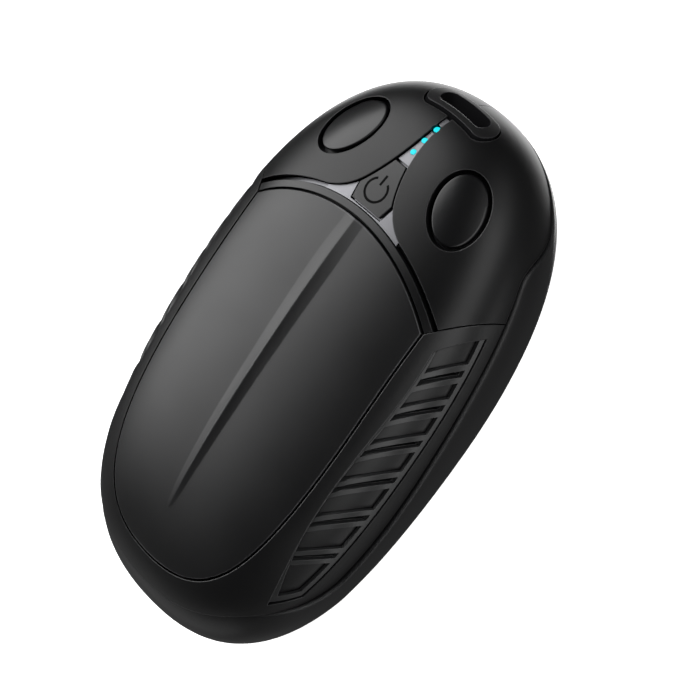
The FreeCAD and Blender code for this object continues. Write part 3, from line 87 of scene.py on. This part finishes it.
# %% [markdown]
# ## Colours and nodes
# Every colour is written as an sRGB hex value, as a designer would read it off a swatch, and is
# turned into the linear numbers that Cycles works with. One small function adds a shader node
# with its settings and links, so a finish reads as a short list.

# %% Colour and node helpers


def hex_colour(code):
    """An sRGB hex value as linear red, green, blue and alpha."""
    channels = [int(code[i:i + 2], 16) / 255 for i in (1, 3, 5)]
    return [c / 12.92 if c <= 0.04045 else ((c + 0.055) / 1.055) ** 2.4 for c in channels] + [1]


def add(tree, kind, inputs=(), **settings):
    """Adds a node; an input is a number, a colour or the socket that feeds it."""
    made = tree.nodes.new(kind)
    for name, value in settings.items():
        setattr(made, name, value)
    for key, value in dict(inputs).items():
        if isinstance(value, bpy.types.NodeSocket):
            tree.links.new(value, made.inputs[key])
        else:
            made.inputs[key].default_value = value
    return made


def blank(name):
    """A new material with an empty node tree."""
    material = bpy.data.materials.new(name)
    material.use_nodes = True
    material.node_tree.nodes.clear()
    return material, material.node_tree


print("mid grey #808080 is", round(hex_colour("#808080")[0], 3), "in linear light")

# %% [markdown]
# ## A grained finish
# Nearly every surface here is a fine even grain on a smooth form. Its tone and gloss drift a
# little over a few millimetres, as the melt flowed or the coat dried. Hands polish the edges
# first, so these are glossier, and they are painted paler: partly wear, partly a painted
# highlight along the rounded edge. The shine is cut in the bottoms of joints and hollows: painted
# shade. The edges could be bevelled as geometry, but the CAD meshes are never changed, so a Bevel
# node rounds the shading instead, and its turn away from the true normal marks the worn and
# painted-highlight edge. The front plate's keel lies near the middle and gets a larger radius of
# its own.

# %% Grained finish
DRIFT_MM, GLOSS_SWING = 14, 0.025
WORN_ROUGHNESS, FULL_SHINE = 0.25, 0.5
SHADED_JOINT_DEPTH_MM = 0.9
KEEL_MM = (4, 5)  # from the middle: the keel's radius holds to the first, fades by the second


def grained(name, dark, light, edge_wear_and_highlight, roughness, grain_mm, depth_mm, edge_mm, keel_mm=None,
            sockets=()):
    """Fine grain, drifting tone and gloss, pale edges of wear and painted highlight, painted
    joint shade.
    """
    material, tree = blank(name)
    place = add(tree, "ShaderNodeTexCoord").outputs["Object"]
    grain = add(tree, "ShaderNodeTexNoise", {
        "Vector": place, "Scale": 1 / (grain_mm * MM), "Detail": 2.0, "Roughness": 0.6})
    drift = add(tree, "ShaderNodeTexNoise", {
        "Vector": place, "Scale": 1 / (DRIFT_MM * MM), "Detail": 3.0, "Roughness": 0.5})
    tone = add(tree, "ShaderNodeMixRGB", {
        "Fac": drift.outputs["Fac"], "Color1": hex_colour(dark), "Color2": hex_colour(light)})
    satin = add(tree, "ShaderNodeMapRange", {
        "Value": drift.outputs["Fac"], "From Min": 0.3, "From Max": 0.7,
        "To Min": roughness - GLOSS_SWING, "To Max": roughness + GLOSS_SWING})
    radius = edge_mm * MM
    if keel_mm:
        across = add(tree, "ShaderNodeSeparateXYZ", {"Vector": place}).outputs["X"]
        aside = add(tree, "ShaderNodeMath", {0: across}, operation="ABSOLUTE")
        radius = add(tree, "ShaderNodeMapRange", {
            "Value": aside.outputs["Value"], "From Min": KEEL_MM[0] * MM,
            "From Max": KEEL_MM[1] * MM, "To Min": keel_mm * MM,
            "To Max": edge_mm * MM}).outputs["Result"]
    edge = add(tree, "ShaderNodeBevel", {"Radius": radius}, samples=6)
    flat = add(tree, "ShaderNodeNewGeometry").outputs["Normal"]
    turned = add(tree, "ShaderNodeVectorMath", {0: edge.outputs["Normal"], 1: flat},
                 operation="DOT_PRODUCT")
    worn_and_highlit_edge = add(tree, "ShaderNodeMapRange", {
        "Value": turned.outputs["Value"], "From Min": 0.995, "From Max": 0.9})
    gloss = add(tree, "ShaderNodeMapRange", {
        "Value": worn_and_highlit_edge.outputs["Result"], "To Min": satin.outputs["Result"],
        "To Max": WORN_ROUGHNESS})
    # Painted shade: where the Ambient Occlusion node finds a joint or hollow, the specular level
    # is cut.
    open_sky = add(tree, "ShaderNodeAmbientOcclusion", {"Distance": SHADED_JOINT_DEPTH_MM * MM},
                   samples=8)
    shine_with_painted_shade = add(tree, "ShaderNodeMapRange", {
        "Value": open_sky.outputs["AO"], "From Min": 0.3, "From Max": 0.8,
        "To Min": 0.0, "To Max": FULL_SHINE})
    # Painted highlight: the pale edge colour stands for light caught on the rounded edges as well
    # as for wear.
    surface = add(tree, "ShaderNodeMixRGB", {
        "Fac": worn_and_highlit_edge.outputs["Result"], "Color1": tone.outputs["Color"],
        "Color2": hex_colour(edge_wear_and_highlight)})
    bump = add(tree, "ShaderNodeBump", {
        "Height": grain.outputs["Fac"], "Distance": depth_mm * MM, "Strength": 1.0,
        "Normal": edge.outputs["Normal"]})
    shader = add(tree, "ShaderNodeBsdfPrincipled", {
        "Base Color": surface.outputs["Color"], "Roughness": gloss.outputs["Result"],
        "Normal": bump.outputs["Normal"], "Specular IOR Level": shine_with_painted_shade.outputs["Result"],
        **dict(sockets)})
    add(tree, "ShaderNodeOutputMaterial", {"Surface": shader.outputs["BSDF"]})
    return material


# Painted shade cuts the shine in joints and hollows up to this depth.
print("a finish drifts over", DRIFT_MM, "mm and is dull deeper than", SHADED_JOINT_DEPTH_MM, "mm")

# %% [markdown]
# ## Finishes that show
# The shells, band and pads are ABS moulded in a spark-eroded tool, which leaves a fine even
# grain and a satin black. The heat plates are bead-blasted aluminium, anodised dark grey, which
# spreads light more softly than the plastic. The inlay is silver paint, the lamps are tinted
# acrylic lit from behind. The grain of such tools is about 0.05 mm; it is drawn about four times
# coarser so that it shows. ABS has an IOR of 1.5 or a little more; where it is lower here, the
# grain is so dull that the photograph shows less shine.

# %% Outer finishes
# Spark-eroded ABS of the shells: an even satin black with broad, soft highlights.
moulded_abs = grained(
    "moulded_abs_black", "#0b0b0c", "#0e0e0f", edge_wear_and_highlight="#3a3a3b", roughness=0.42,
    grain_mm=0.22, depth_mm=0.004, edge_mm=0.2, sockets={"IOR": 1.45})
# The band's ABS is smoother, and its edges are so round that it reads as a bead.
band_abs = grained(
    "moulded_abs_band", "#0d0d0e", "#101011", edge_wear_and_highlight="#2c2c2d", roughness=0.36,
    grain_mm=0.22, depth_mm=0.004, edge_mm=1.1, sockets={"IOR": 1.45})
# The head's pads are the darkest ABS; their edges are painted pale, partly for wear and partly as
# painted highlight lines.
pad_abs = grained(
    "satin_abs_pads", "#09090a", "#0c0c0d", edge_wear_and_highlight="#4a4a4b", roughness=0.4,
    grain_mm=0.2, depth_mm=0.003, edge_mm=0.22, sockets={"IOR": 1.38})
# Thumbs have polished the rests, so their highlights are tighter.
disc_abs = grained(
    "satin_abs_discs", "#08080a", "#0b0b0c", edge_wear_and_highlight="#303031", roughness=0.32,
    grain_mm=0.2, depth_mm=0.003, edge_mm=0.05, sockets={"IOR": 1.44})
# The slim arch shows mostly as a line of light along its edge.
trim_abs = grained(
    "satin_abs_trim", "#0d0d0e", "#101011", edge_wear_and_highlight="#3a3a3b", roughness=0.36,
    grain_mm=0.2, depth_mm=0.003, edge_mm=0.12, sockets={"IOR": 1.44})
# The port's frame is a shade paler than the pads round it.
bezel_abs = grained(
    "satin_abs_bezel", "#101011", "#131314", edge_wear_and_highlight="#48484a", roughness=0.42,
    grain_mm=0.2, depth_mm=0.003, edge_mm=0.2, sockets={"IOR": 1.5})
# The button's cap is greyer than the pads, so the black mark reads on it.
cap_abs = grained(
    "satin_abs_cap", "#171718", "#1b1b1c", edge_wear_and_highlight="#3a3a3b", roughness=0.4,
    grain_mm=0.2, depth_mm=0.003, edge_mm=0.12, sockets={"IOR": 1.44})
# The grilles are the palest ABS: their bars stand out against the dark floor of the vents.
grille_abs = grained(
    "satin_abs_grilles", "#242425", "#292a2a", edge_wear_and_highlight="#4c4c4d", roughness=0.34,
    grain_mm=0.2, depth_mm=0.003, edge_mm=0.1, sockets={"IOR": 1.5})
# A dyed oxide film hides the metal, so the plate looks like dark glass under a fine blast.
anodised = grained(
    "anodised_aluminium", "#101011", "#131314", edge_wear_and_highlight="#58585a", roughness=0.42,
    grain_mm=0.18, depth_mm=0.004, edge_mm=0.25, keel_mm=0.5, sockets={"IOR": 1.5})
# Metal flakes in the paint give a soft grey that brightens towards the light.
silver_paint = grained(
    "silver_paint", "#6c6c6f", "#767679", edge_wear_and_highlight="#8a8a8c", roughness=0.42,
    grain_mm=0.16, depth_mm=0.002, edge_mm=0.06, sockets={"Metallic": 0.9})
# Lit from behind, the acrylic glows an even cyan; a low IOR keeps shine from hiding the glow.
lamp_acrylic = grained(
    "tinted_acrylic_lamp", "#064a4e", "#085257", edge_wear_and_highlight="#0a6268", roughness=0.3,
    grain_mm=0.3, depth_mm=0.001, edge_mm=0.1, sockets={
        "Emission Color": hex_colour("#04eef8"), "Emission Strength": 0.9, "IOR": 1.3})
# Pad-printing ink is matt, so the mark stays black where the cap shines.
mark_paint = grained(
    "pad_printed_black", "#040404", "#060606", edge_wear_and_highlight="#080808", roughness=0.8,
    grain_mm=0.2, depth_mm=0.001, edge_mm=0.02, sockets={"Specular IOR Level": 0.1})
print("outer finishes:", len(bpy.data.materials), "materials with those of the CAD model")

# %% [markdown]
# ## Where the paint and the polish stop
# The silver of the inlay fades to near black along the left arm and turns near black where the
# right arm leaves the button: painted shade, for the shade that falls in the arms' channels.
# Inside the port's mouth the shine is taken away, as painted shade, so only the face of its frame
# shines. The pieces could be split there, but each is one moulding, so the change is made in its
# finish, by place and by the way a face looks.

# %% Painted shade on the arms and in the port's mouth
RIGHT_SHADE_MM, LEFT_SHADE_MM = (8.4, 8.7), (-13, -20)
tree = silver_paint.node_tree
painted = next(node for node in tree.nodes if node.type == "BSDF_PRINCIPLED")
across = add(tree, "ShaderNodeSeparateXYZ", {
    "Vector": add(tree, "ShaderNodeTexCoord").outputs["Object"]}).outputs["X"]
right_shade, left_shade = (
    add(tree, "ShaderNodeMapRange", {
        "Value": across, "From Min": start * MM, "From Max": stop * MM}).outputs["Result"]
    for start, stop in (RIGHT_SHADE_MM, LEFT_SHADE_MM))
arm_painted_shade = add(tree, "ShaderNodeMath", {0: right_shade, 1: left_shade}, operation="MAXIMUM")
# Painted shade: past these places the silver is mixed to near black #060606 for the shade in the
# arms' channels.
silver_or_painted_shade = add(tree, "ShaderNodeMixRGB", {
    "Fac": arm_painted_shade.outputs["Value"], "Color1": painted.inputs["Base Color"].links[0].from_socket,
    "Color2": hex_colour("#060606")})
tree.links.new(silver_or_painted_shade.outputs["Color"], painted.inputs["Base Color"])

# Painted shade: the shine is kept only on faces that look towards the head, so the walls inside
# the mouth go dark as if in shade.
tree = bezel_abs.node_tree
moulded = next(node for node in tree.nodes if node.type == "BSDF_PRINCIPLED")
facing = add(tree, "ShaderNodeSeparateXYZ", {
    "Vector": add(tree, "ShaderNodeTexCoord").outputs["Normal"]}).outputs["Y"]
face = add(tree, "ShaderNodeMapRange", {"Value": facing, "From Min": 0.3, "From Max": 0.7})
shine_shaded_in_mouth = add(tree, "ShaderNodeMath", {
    0: face.outputs["Result"],
    1: moulded.inputs["Specular IOR Level"].links[0].from_socket}, operation="MULTIPLY")
tree.links.new(shine_shaded_in_mouth.outputs["Value"], moulded.inputs["Specular IOR Level"])
print("silver from", LEFT_SHADE_MM[0], "to", RIGHT_SHADE_MM[0], "mm across")

# %% [markdown]
# ## Finishes inside
# Most of these show only when the part is taken to pieces: a circuit board, pouch cells, films
# that heat, foam and wires. They take the same kind of finish with the colour, gloss and grain
# of each material, because a reader who opens the model should know them at a glance.

# %% Inner finishes
# Drawn steel: bright and smooth, with tight highlights.
steel = grained(
    "drawn_steel", "#a9a9ab", "#b4b4b6", edge_wear_and_highlight="#c9c9cb", roughness=0.3,
    grain_mm=0.3, depth_mm=0.001, edge_mm=0.05, sockets={"Metallic": 1.0})
# A thin gold plating: a warm gleam on the contacts.
gilding = grained(
    "gold_plated_copper", "#c79a3e", "#d3a748", edge_wear_and_highlight="#e0b95f", roughness=0.28,
    grain_mm=0.2, depth_mm=0.0005, edge_mm=0.03, sockets={"Metallic": 1.0})
# Glass-filled nylon: black and slightly rough from its fibres.
insulator = grained(
    "glass_filled_nylon", "#0c0c0c", "#101010", edge_wear_and_highlight="#181818", roughness=0.5,
    grain_mm=0.15, depth_mm=0.002, edge_mm=0.05)
# Solder mask: a smooth green lacquer that clouds over the weave of the board.
solder_mask = grained(
    "solder_mask_green", "#0d3a20", "#124a2a", edge_wear_and_highlight="#2f6a48", roughness=0.35,
    grain_mm=0.8, depth_mm=0.002, edge_mm=0.05)
# Moulded epoxy: the dull charcoal of a chip.
epoxy = grained(
    "moulded_epoxy", "#1a1a1b", "#202021", edge_wear_and_highlight="#2c2c2d", roughness=0.55,
    grain_mm=0.15, depth_mm=0.003, edge_mm=0.06)
# Pressed ferrite: a grey, gritty ceramic.
ferrite = grained(
    "pressed_ferrite", "#2a2a2b", "#333334", edge_wear_and_highlight="#434344", roughness=0.6,
    grain_mm=0.3, depth_mm=0.006, edge_mm=0.08)
# Laminated foil: silvery, with shallow dimples a millimetre or so apart.
foil = grained(
    "pouch_foil", "#b9b9bc", "#c6c6c9", edge_wear_and_highlight="#d6d6d8", roughness=0.28,
    grain_mm=1.2, depth_mm=0.01, edge_mm=0.2, sockets={"Metallic": 1.0})
# Natural nylon: a milky white.
nylon = grained(
    "natural_nylon", "#d8d5cb", "#e2dfd6", edge_wear_and_highlight="#ebe9e2", roughness=0.5,
    grain_mm=0.3, depth_mm=0.003, edge_mm=0.1)
# Polyimide film: glossy amber with faint waves.
polyimide = grained(
    "polyimide_film", "#a85a14", "#b9681c", edge_wear_and_highlight="#c98030", roughness=0.3,
    grain_mm=2.0, depth_mm=0.002, edge_mm=0.03)
# Open-cell foam: matt grey with cells of about half a millimetre.
foam = grained(
    "open_cell_foam", "#3a3a3c", "#48484b", edge_wear_and_highlight="#515154", roughness=0.9,
    grain_mm=0.5, depth_mm=0.08, edge_mm=0.3)
# Silicone insulation: a soft, slightly dusty red.
silicone = grained(
    "silicone_lead", "#8a1515", "#9a1c1c", edge_wear_and_highlight="#a83030", roughness=0.5,
    grain_mm=0.3, depth_mm=0.002, edge_mm=0.05)
print("all finishes:", len(bpy.data.materials), "materials with those of the CAD model")

# %% [markdown]
# ## Finishes on the CAD pieces
# The CAD solids already have the right shape, so they stay and only take a finish. New meshes
# could be drawn over them, but they would add nothing. The thumb rests alone get new faces below.

# %% Hand out the finishes
FINISHES = {
    "front_shell": moulded_abs, "rear_shell": moulded_abs, "waist_band": band_abs,
    "front_grilles": grille_abs, "rear_grilles": grille_abs,
    "front_heat_plate": anodised, "rear_heat_plate": anodised,
    "front_heater_film": polyimide, "rear_heater_film": polyimide, "arch_trim": trim_abs,
    "head_pad_right": pad_abs, "head_pad_left": pad_abs, "eye_disc_right": disc_abs,
    "eye_disc_left": disc_abs, "light_guide": silver_paint, "guide_tip": silver_paint,
    "lamp_lenses": lamp_acrylic, "lamp_leds": nylon, "lamp_strip": polyimide,
    "power_button": cap_abs, "switch_plunger": insulator, "switch_body": epoxy,
    "port_bezel": bezel_abs, "socket_shell": steel, "socket_tongue": insulator,
    "main_board": solder_mask, "controller_chip": epoxy, "power_coil": ferrite,
    "battery_cell_upper": foil, "battery_cell_lower": foil, "cell_cradle": nylon,
    "front_foam_pad": foam, "rear_foam_pad": foam, "temperature_sensor": epoxy,
    "battery_leads": silicone, "front_heater_leads": silicone, "rear_heater_leads": silicone,
    "case_screws": steel,
}
for name, finish in FINISHES.items():
    cad[name].data.materials.clear()
    cad[name].data.materials.append(finish)
print("finished", len(FINISHES), "of", len(cad), "nodes")

# %% [markdown]
# ## The power mark
# The cap carries the common power mark, an open ring with a bar, pad-printed in black. A text
# character would be quicker, but no font draws it the same everywhere. So it is a circle whose
# top is opened, widened to a ribbon, with a bar in the opening. Both are laid on the cap with a
# Shrinkwrap, because the cap is curved, and given the thickness of a coat of ink.

# %% Power mark
MARK_CENTRE = Vector((-0.35, 31.5, 0)) * MM
MARK_SIDES, MARK_RADIUS, MARK_OPEN = 96, 2.05 * MM, math.radians(33)
MARK_STROKE, INK_THICK = 0.42 * MM, 0.03 * MM
BAR_FOOT, BAR_TOP, BAR_CUTS = 0.95 * MM, 2.85 * MM, 11
above_cap = Vector((0, 0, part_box("power_button")[1][2] + 1 * MM))
ring_centre = MARK_CENTRE + above_cap
bar_centre = ring_centre + Vector((0, (BAR_FOOT + BAR_TOP) / 2, 0))


def pick(choose):
    """In edit mode, selects the vertices that choose() says yes to."""
    bpy.ops.mesh.select_all(action="DESELECT")
    bpy.ops.object.mode_set(mode="OBJECT")
    for vertex in bpy.context.object.data.vertices:
        vertex.select = choose(vertex.co)
    bpy.ops.object.mode_set(mode="EDIT")


def lay_down(piece, node):
    """Drops a flat piece straight down on a CAD node."""
    lay = piece.modifiers.new("lay", "SHRINKWRAP")
    lay.target = cad[node]
    lay.wrap_method = "PROJECT"
    lay.use_project_z = True
    lay.use_negative_direction = True
    lay.use_positive_direction = False
    bpy.ops.object.modifier_apply(modifier="lay")


bpy.ops.object.select_all(action="DESELECT")
bpy.ops.mesh.primitive_circle_add(
    vertices=MARK_SIDES, radius=MARK_RADIUS - MARK_STROKE / 2, location=ring_centre)
mark = bpy.context.object
mark.name = "power_mark"
bpy.ops.object.transform_apply(location=True)
bpy.ops.object.mode_set(mode="EDIT")
bpy.ops.mesh.select_mode(type="VERT")
pick(lambda co: abs(math.atan2(co.x - MARK_CENTRE.x, co.y - MARK_CENTRE.y)) < MARK_OPEN)
bpy.ops.mesh.delete(type="VERT")
bpy.ops.mesh.select_all(action="SELECT")
widen = (MARK_RADIUS + MARK_STROKE / 2) / (MARK_RADIUS - MARK_STROKE / 2)
bpy.ops.mesh.extrude_edges_move()
bpy.ops.transform.resize(value=(widen, widen, 1), center_override=ring_centre)
bpy.ops.mesh.primitive_plane_add(size=1, location=bar_centre)
bpy.ops.transform.resize(
    value=(MARK_STROKE, BAR_TOP - BAR_FOOT, 1), center_override=bar_centre)
bpy.ops.mesh.subdivide(number_cuts=BAR_CUTS)
bpy.ops.mesh.select_all(action="SELECT")
bpy.ops.mesh.normals_make_consistent(inside=False)
bpy.ops.object.mode_set(mode="OBJECT")
lay_down(mark, "power_button")
ink = mark.modifiers.new("ink", "SOLIDIFY")
ink.thickness = INK_THICK
ink.offset = 0
bpy.ops.object.modifier_apply(modifier="ink")
bpy.ops.object.shade_smooth_by_angle(angle=math.radians(30))
mark.data.materials.append(mark_paint)
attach(mark, "button")
print("power mark:", len(mark.data.vertices), "vertices")

# %% [markdown]
# ## Thumb rests
# The photograph shows the two oval rests nearly level with the skin, in a bold dark groove,
# with a round rim that catches the light; the CAD discs are a little hollow, with a sharp rim.
# A bump could fake the swell, but it would be lost in the exported shape. So each face is a disc
# of rings, laid on the CAD disc with a Shrinkwrap and swelled ring by ring. The rim is extruded
# down and rounded, and a Mirror makes the second rest.

# %% Thumb rests
rest_low, rest_high = (Vector(corner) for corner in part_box("eye_disc_right"))
REST_CENTRE = (rest_low + rest_high) / 2
REST_LEAN, REST_HALF_WIDTH, REST_HALF_LENGTH = math.radians(27.5), 3.9 * MM, 6.05 * MM
REST_SIDES, REST_RINGS, REST_SWELL = 96, 12, 1.0 * MM
REST_SKIRT, REST_ROUND = 1.0 * MM, 0.3 * MM
HIGH_ABOVE = Vector((0, 0, 30 * MM))


def outward(co):
    """How far a point is from the middle of the rest, as a share of the way to its rim."""
    turned = Matrix.Rotation(-REST_LEAN, 3, "Z") @ (co - REST_CENTRE)
    return math.hypot(turned.x / REST_HALF_WIDTH, turned.y / REST_HALF_LENGTH)


bpy.ops.object.select_all(action="DESELECT")
bpy.ops.mesh.primitive_circle_add(vertices=REST_SIDES, radius=1, fill_type="NGON")
rest = bpy.context.object
rest.name = "thumb_rests"
bpy.ops.object.mode_set(mode="EDIT")
bpy.ops.mesh.select_all(action="SELECT")
for ring in range(1, REST_RINGS):
    bpy.ops.mesh.inset(thickness=1 / REST_RINGS * math.cos(math.pi / REST_SIDES))
bpy.ops.object.mode_set(mode="OBJECT")
rest.scale = (REST_HALF_WIDTH, REST_HALF_LENGTH, 1)
rest.rotation_euler.z = REST_LEAN
rest.location = REST_CENTRE + HIGH_ABOVE
bpy.ops.object.transform_apply(location=True, rotation=True, scale=True)
lay_down(rest, "eye_disc_right")
print("rest face:", len(rest.data.polygons), "faces laid on the CAD disc")

# %% [markdown]
# The face now has the hollow of the CAD disc. Each step lifts all that lies inside one ring, by
# the rise of a parabola from that ring to the next, so the middle ends up highest.

# %% Swell and rim of the thumb rests
bpy.ops.object.mode_set(mode="EDIT")
bpy.ops.mesh.select_mode(type="VERT")
for ring in range(1, REST_RINGS):
    outer, inner = 1 - (ring - 1) / REST_RINGS, 1 - ring / REST_RINGS
    pick(lambda co: outward(co) < (outer + inner) / 2)
    bpy.ops.transform.translate(value=(0, 0, REST_SWELL * (outer ** 2 - inner ** 2)))
pick(lambda co: outward(co) > 1 - 0.5 / REST_RINGS)
bpy.ops.mesh.extrude_edges_move(TRANSFORM_OT_translate={"value": (0, 0, -REST_SKIRT)})
bpy.ops.mesh.edge_face_add()
bpy.ops.mesh.select_all(action="SELECT")
bpy.ops.mesh.normals_make_consistent(inside=False)
bpy.ops.object.mode_set(mode="OBJECT")
rim = rest.modifiers.new("rim", "BEVEL")
rim.width = REST_ROUND
rim.segments = 4
rim.limit_method = "ANGLE"
rim.angle_limit = math.radians(50)
bpy.ops.object.modifier_apply(modifier="rim")
twin = rest.modifiers.new("twin", "MIRROR")
bpy.ops.object.modifier_apply(modifier="twin")
bpy.ops.object.shade_smooth_by_angle(angle=math.radians(40))
rest.data.materials.append(disc_abs)
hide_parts("eye_disc_right", "eye_disc_left")
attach(rest, "case")
rest_top = max(vertex.co.z for vertex in rest.data.vertices)
print("thumb rests:", len(rest.data.vertices), "vertices, top",
      round((rest_top - rest_high.z) / MM, 2), "mm over the CAD disc")

# %% [markdown]
# ## Contacts in the socket
# The socket's tongue carries a row of gilded contacts on each face. They could be painted on,
# but a plug's contacts rub on real bars that stand a little proud. One contact is modelled as a
# thin bevelled bar and repeated across the tongue; a copy of the row covers the other face.

# %% Socket contacts
tongue_low, tongue_high = (Vector(corner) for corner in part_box("socket_tongue"))
PORT_HEIGHT, TONGUE_HALF, TIP_MARGIN = 23.5 * MM, 0.35 * MM, 0.5 * MM
CONTACTS, CONTACT_PITCH = 12, 0.5 * MM
CONTACT_WIDTH, CONTACT_LENGTH, CONTACT_THICK = 0.26 * MM, 3.4 * MM, 0.06 * MM
bpy.ops.object.select_all(action="DESELECT")
first = Vector((-(CONTACTS - 1) / 2 * CONTACT_PITCH,
                tongue_high.y - TIP_MARGIN - CONTACT_LENGTH / 2, PORT_HEIGHT + TONGUE_HALF))
bpy.ops.mesh.primitive_cube_add(size=1, location=first)
contacts = bpy.context.object
contacts.name = "socket_contacts"
contacts.scale = (CONTACT_WIDTH, CONTACT_LENGTH, CONTACT_THICK)
bpy.ops.object.transform_apply(location=True, scale=True)
bpy.ops.object.mode_set(mode="EDIT")
bpy.ops.mesh.select_all(action="SELECT")
bpy.ops.mesh.bevel(offset=CONTACT_THICK / 3, segments=2, affect="EDGES")
bpy.ops.object.mode_set(mode="OBJECT")
row = contacts.modifiers.new("row", "ARRAY")
row.count = CONTACTS
row.use_relative_offset = False
row.use_constant_offset = True
row.constant_offset_displace = (CONTACT_PITCH, 0, 0)
bpy.ops.object.modifier_apply(modifier="row")
bpy.ops.object.mode_set(mode="EDIT")
bpy.ops.mesh.select_all(action="SELECT")
bpy.ops.mesh.duplicate()
bpy.ops.transform.translate(value=(0, 0, -2 * TONGUE_HALF))
bpy.ops.object.mode_set(mode="OBJECT")
bpy.ops.object.shade_smooth_by_angle(angle=math.radians(40))
contacts.data.materials.append(gilding)
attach(contacts, "case")
print("contacts:", 2 * CONTACTS, "tongue", [round(x / MM, 2) for x in tongue_high - tongue_low])

# %% [markdown]
# ## The paper
# The photograph is a cut-out on white: its lit table hides the shadow and leaves no mirror image
# on the case. White paper on a table would do, but it would also wash out the black plastic. So
# the paper floor and the dome behind it glow for the eye alone and cast nothing on the object.

# %% Floor and dome
bpy.ops.object.select_all(action="DESELECT")
paper, tree = blank("white_paper")
shader = add(tree, "ShaderNodeBsdfPrincipled", {
    "Base Color": hex_colour("#f4f4f4"), "Roughness": 0.9,
    "Emission Color": hex_colour("#ffffff"), "Emission Strength": 0.95})
add(tree, "ShaderNodeOutputMaterial", {"Surface": shader.outputs["BSDF"]})
bpy.ops.mesh.primitive_plane_add(size=8, location=(0, 0, -0.5 * MM))
floor = bpy.context.object
floor.name = "studio_floor"
bpy.ops.mesh.primitive_uv_sphere_add(segments=64, ring_count=32, radius=3.5)
dome = bpy.context.object
dome.name = "studio_dome"
for paper_piece in (floor, dome):
    paper_piece.data.materials.append(paper)
    paper_piece.visible_diffuse = False
    paper_piece.visible_glossy = False
    paper_piece.visible_shadow = False
print("paper:", floor.name, "and", dome.name)

# %% [markdown]
# ## The light
# The room is dark, so that the plastic stays black. One large softbox stands low on the left and
# shades the plate from light to dark, and a strip on the right lights the vents and the pad. Two
# weak fills keep the head and the tail readable from other sides. A lamp under the table draws
# the head's pale far rim, and a narrow one below on the right is mirrored by the band. Below the
# table the room itself glows a little on the right and behind the tail.

# %% Softboxes and room
SOFTBOXES = {
    # name: direction from the object, then distance, width and height in metres, then watts
    "key_softbox": ((-0.72, 0.14, 0.62), 0.8, 1.1, 0.7, 10.4),
    "flank_softbox": ((0.85, 0.2, 0.5), 0.9, 1.3, 0.5, 4.6),
    "head_fill": ((0.58, 0.75, 0.32), 1.0, 0.8, 0.6, 1.3),
    "tail_fill": ((-0.2, -0.95, -0.1), 1.0, 1.0, 0.5, 0.5),
    "table_lamp": ((-0.5, 0.3, -0.8), 0.6, 0.55, 0.55, 2.6),
    "band_strip": ((0.9, -0.15, -0.3), 0.9, 1.0, 0.15, 1.2),
}
DARK, GLOW_RIGHT, GLOW_BEHIND, GLOW_ABOVE = 0.03, 0.14, 0.16, 0.02
for name, (direction, distance, width, height, watts) in SOFTBOXES.items():
    place = AIM + Vector(direction).normalized() * distance
    bpy.ops.object.light_add(type="AREA", location=place)
    lamp = bpy.context.object
    lamp.name = name
    lamp.rotation_euler = (AIM - place).to_track_quat("-Z", "Y").to_euler()
    lamp.data.shape = "RECTANGLE"
    lamp.data.size, lamp.data.size_y = width, height
    lamp.data.energy = watts
    lamp.visible_camera = False

world = bpy.data.worlds.new("dim_room")
bpy.context.scene.world = world
world.use_nodes = True
tree = world.node_tree
way = add(tree, "ShaderNodeSeparateXYZ", {
    "Vector": add(tree, "ShaderNodeTexCoord").outputs["Generated"]})
beside = add(tree, "ShaderNodeMapRange", {
    "Value": way.outputs["X"], "From Min": -0.2, "From Max": 0.3,
    "To Min": DARK, "To Max": GLOW_RIGHT})
behind = add(tree, "ShaderNodeMapRange", {
    "Value": way.outputs["Y"], "From Min": -0.35, "From Max": -0.6,
    "To Min": DARK, "To Max": GLOW_BEHIND})
below = add(tree, "ShaderNodeMath", {
    0: beside.outputs["Result"], 1: behind.outputs["Result"]}, operation="MAXIMUM")
room = add(tree, "ShaderNodeMapRange", {
    "Value": way.outputs["Z"], "From Min": -0.05, "From Max": 0.15,
    "To Min": below.outputs["Value"], "To Max": GLOW_ABOVE})
tree.nodes["Background"].inputs["Color"].default_value = hex_colour("#ffffff")
tree.links.new(room.outputs["Result"], tree.nodes["Background"].inputs["Strength"])
bpy.context.scene.view_settings.view_transform = "Standard"
print("studio:", len(SOFTBOXES), "lights")
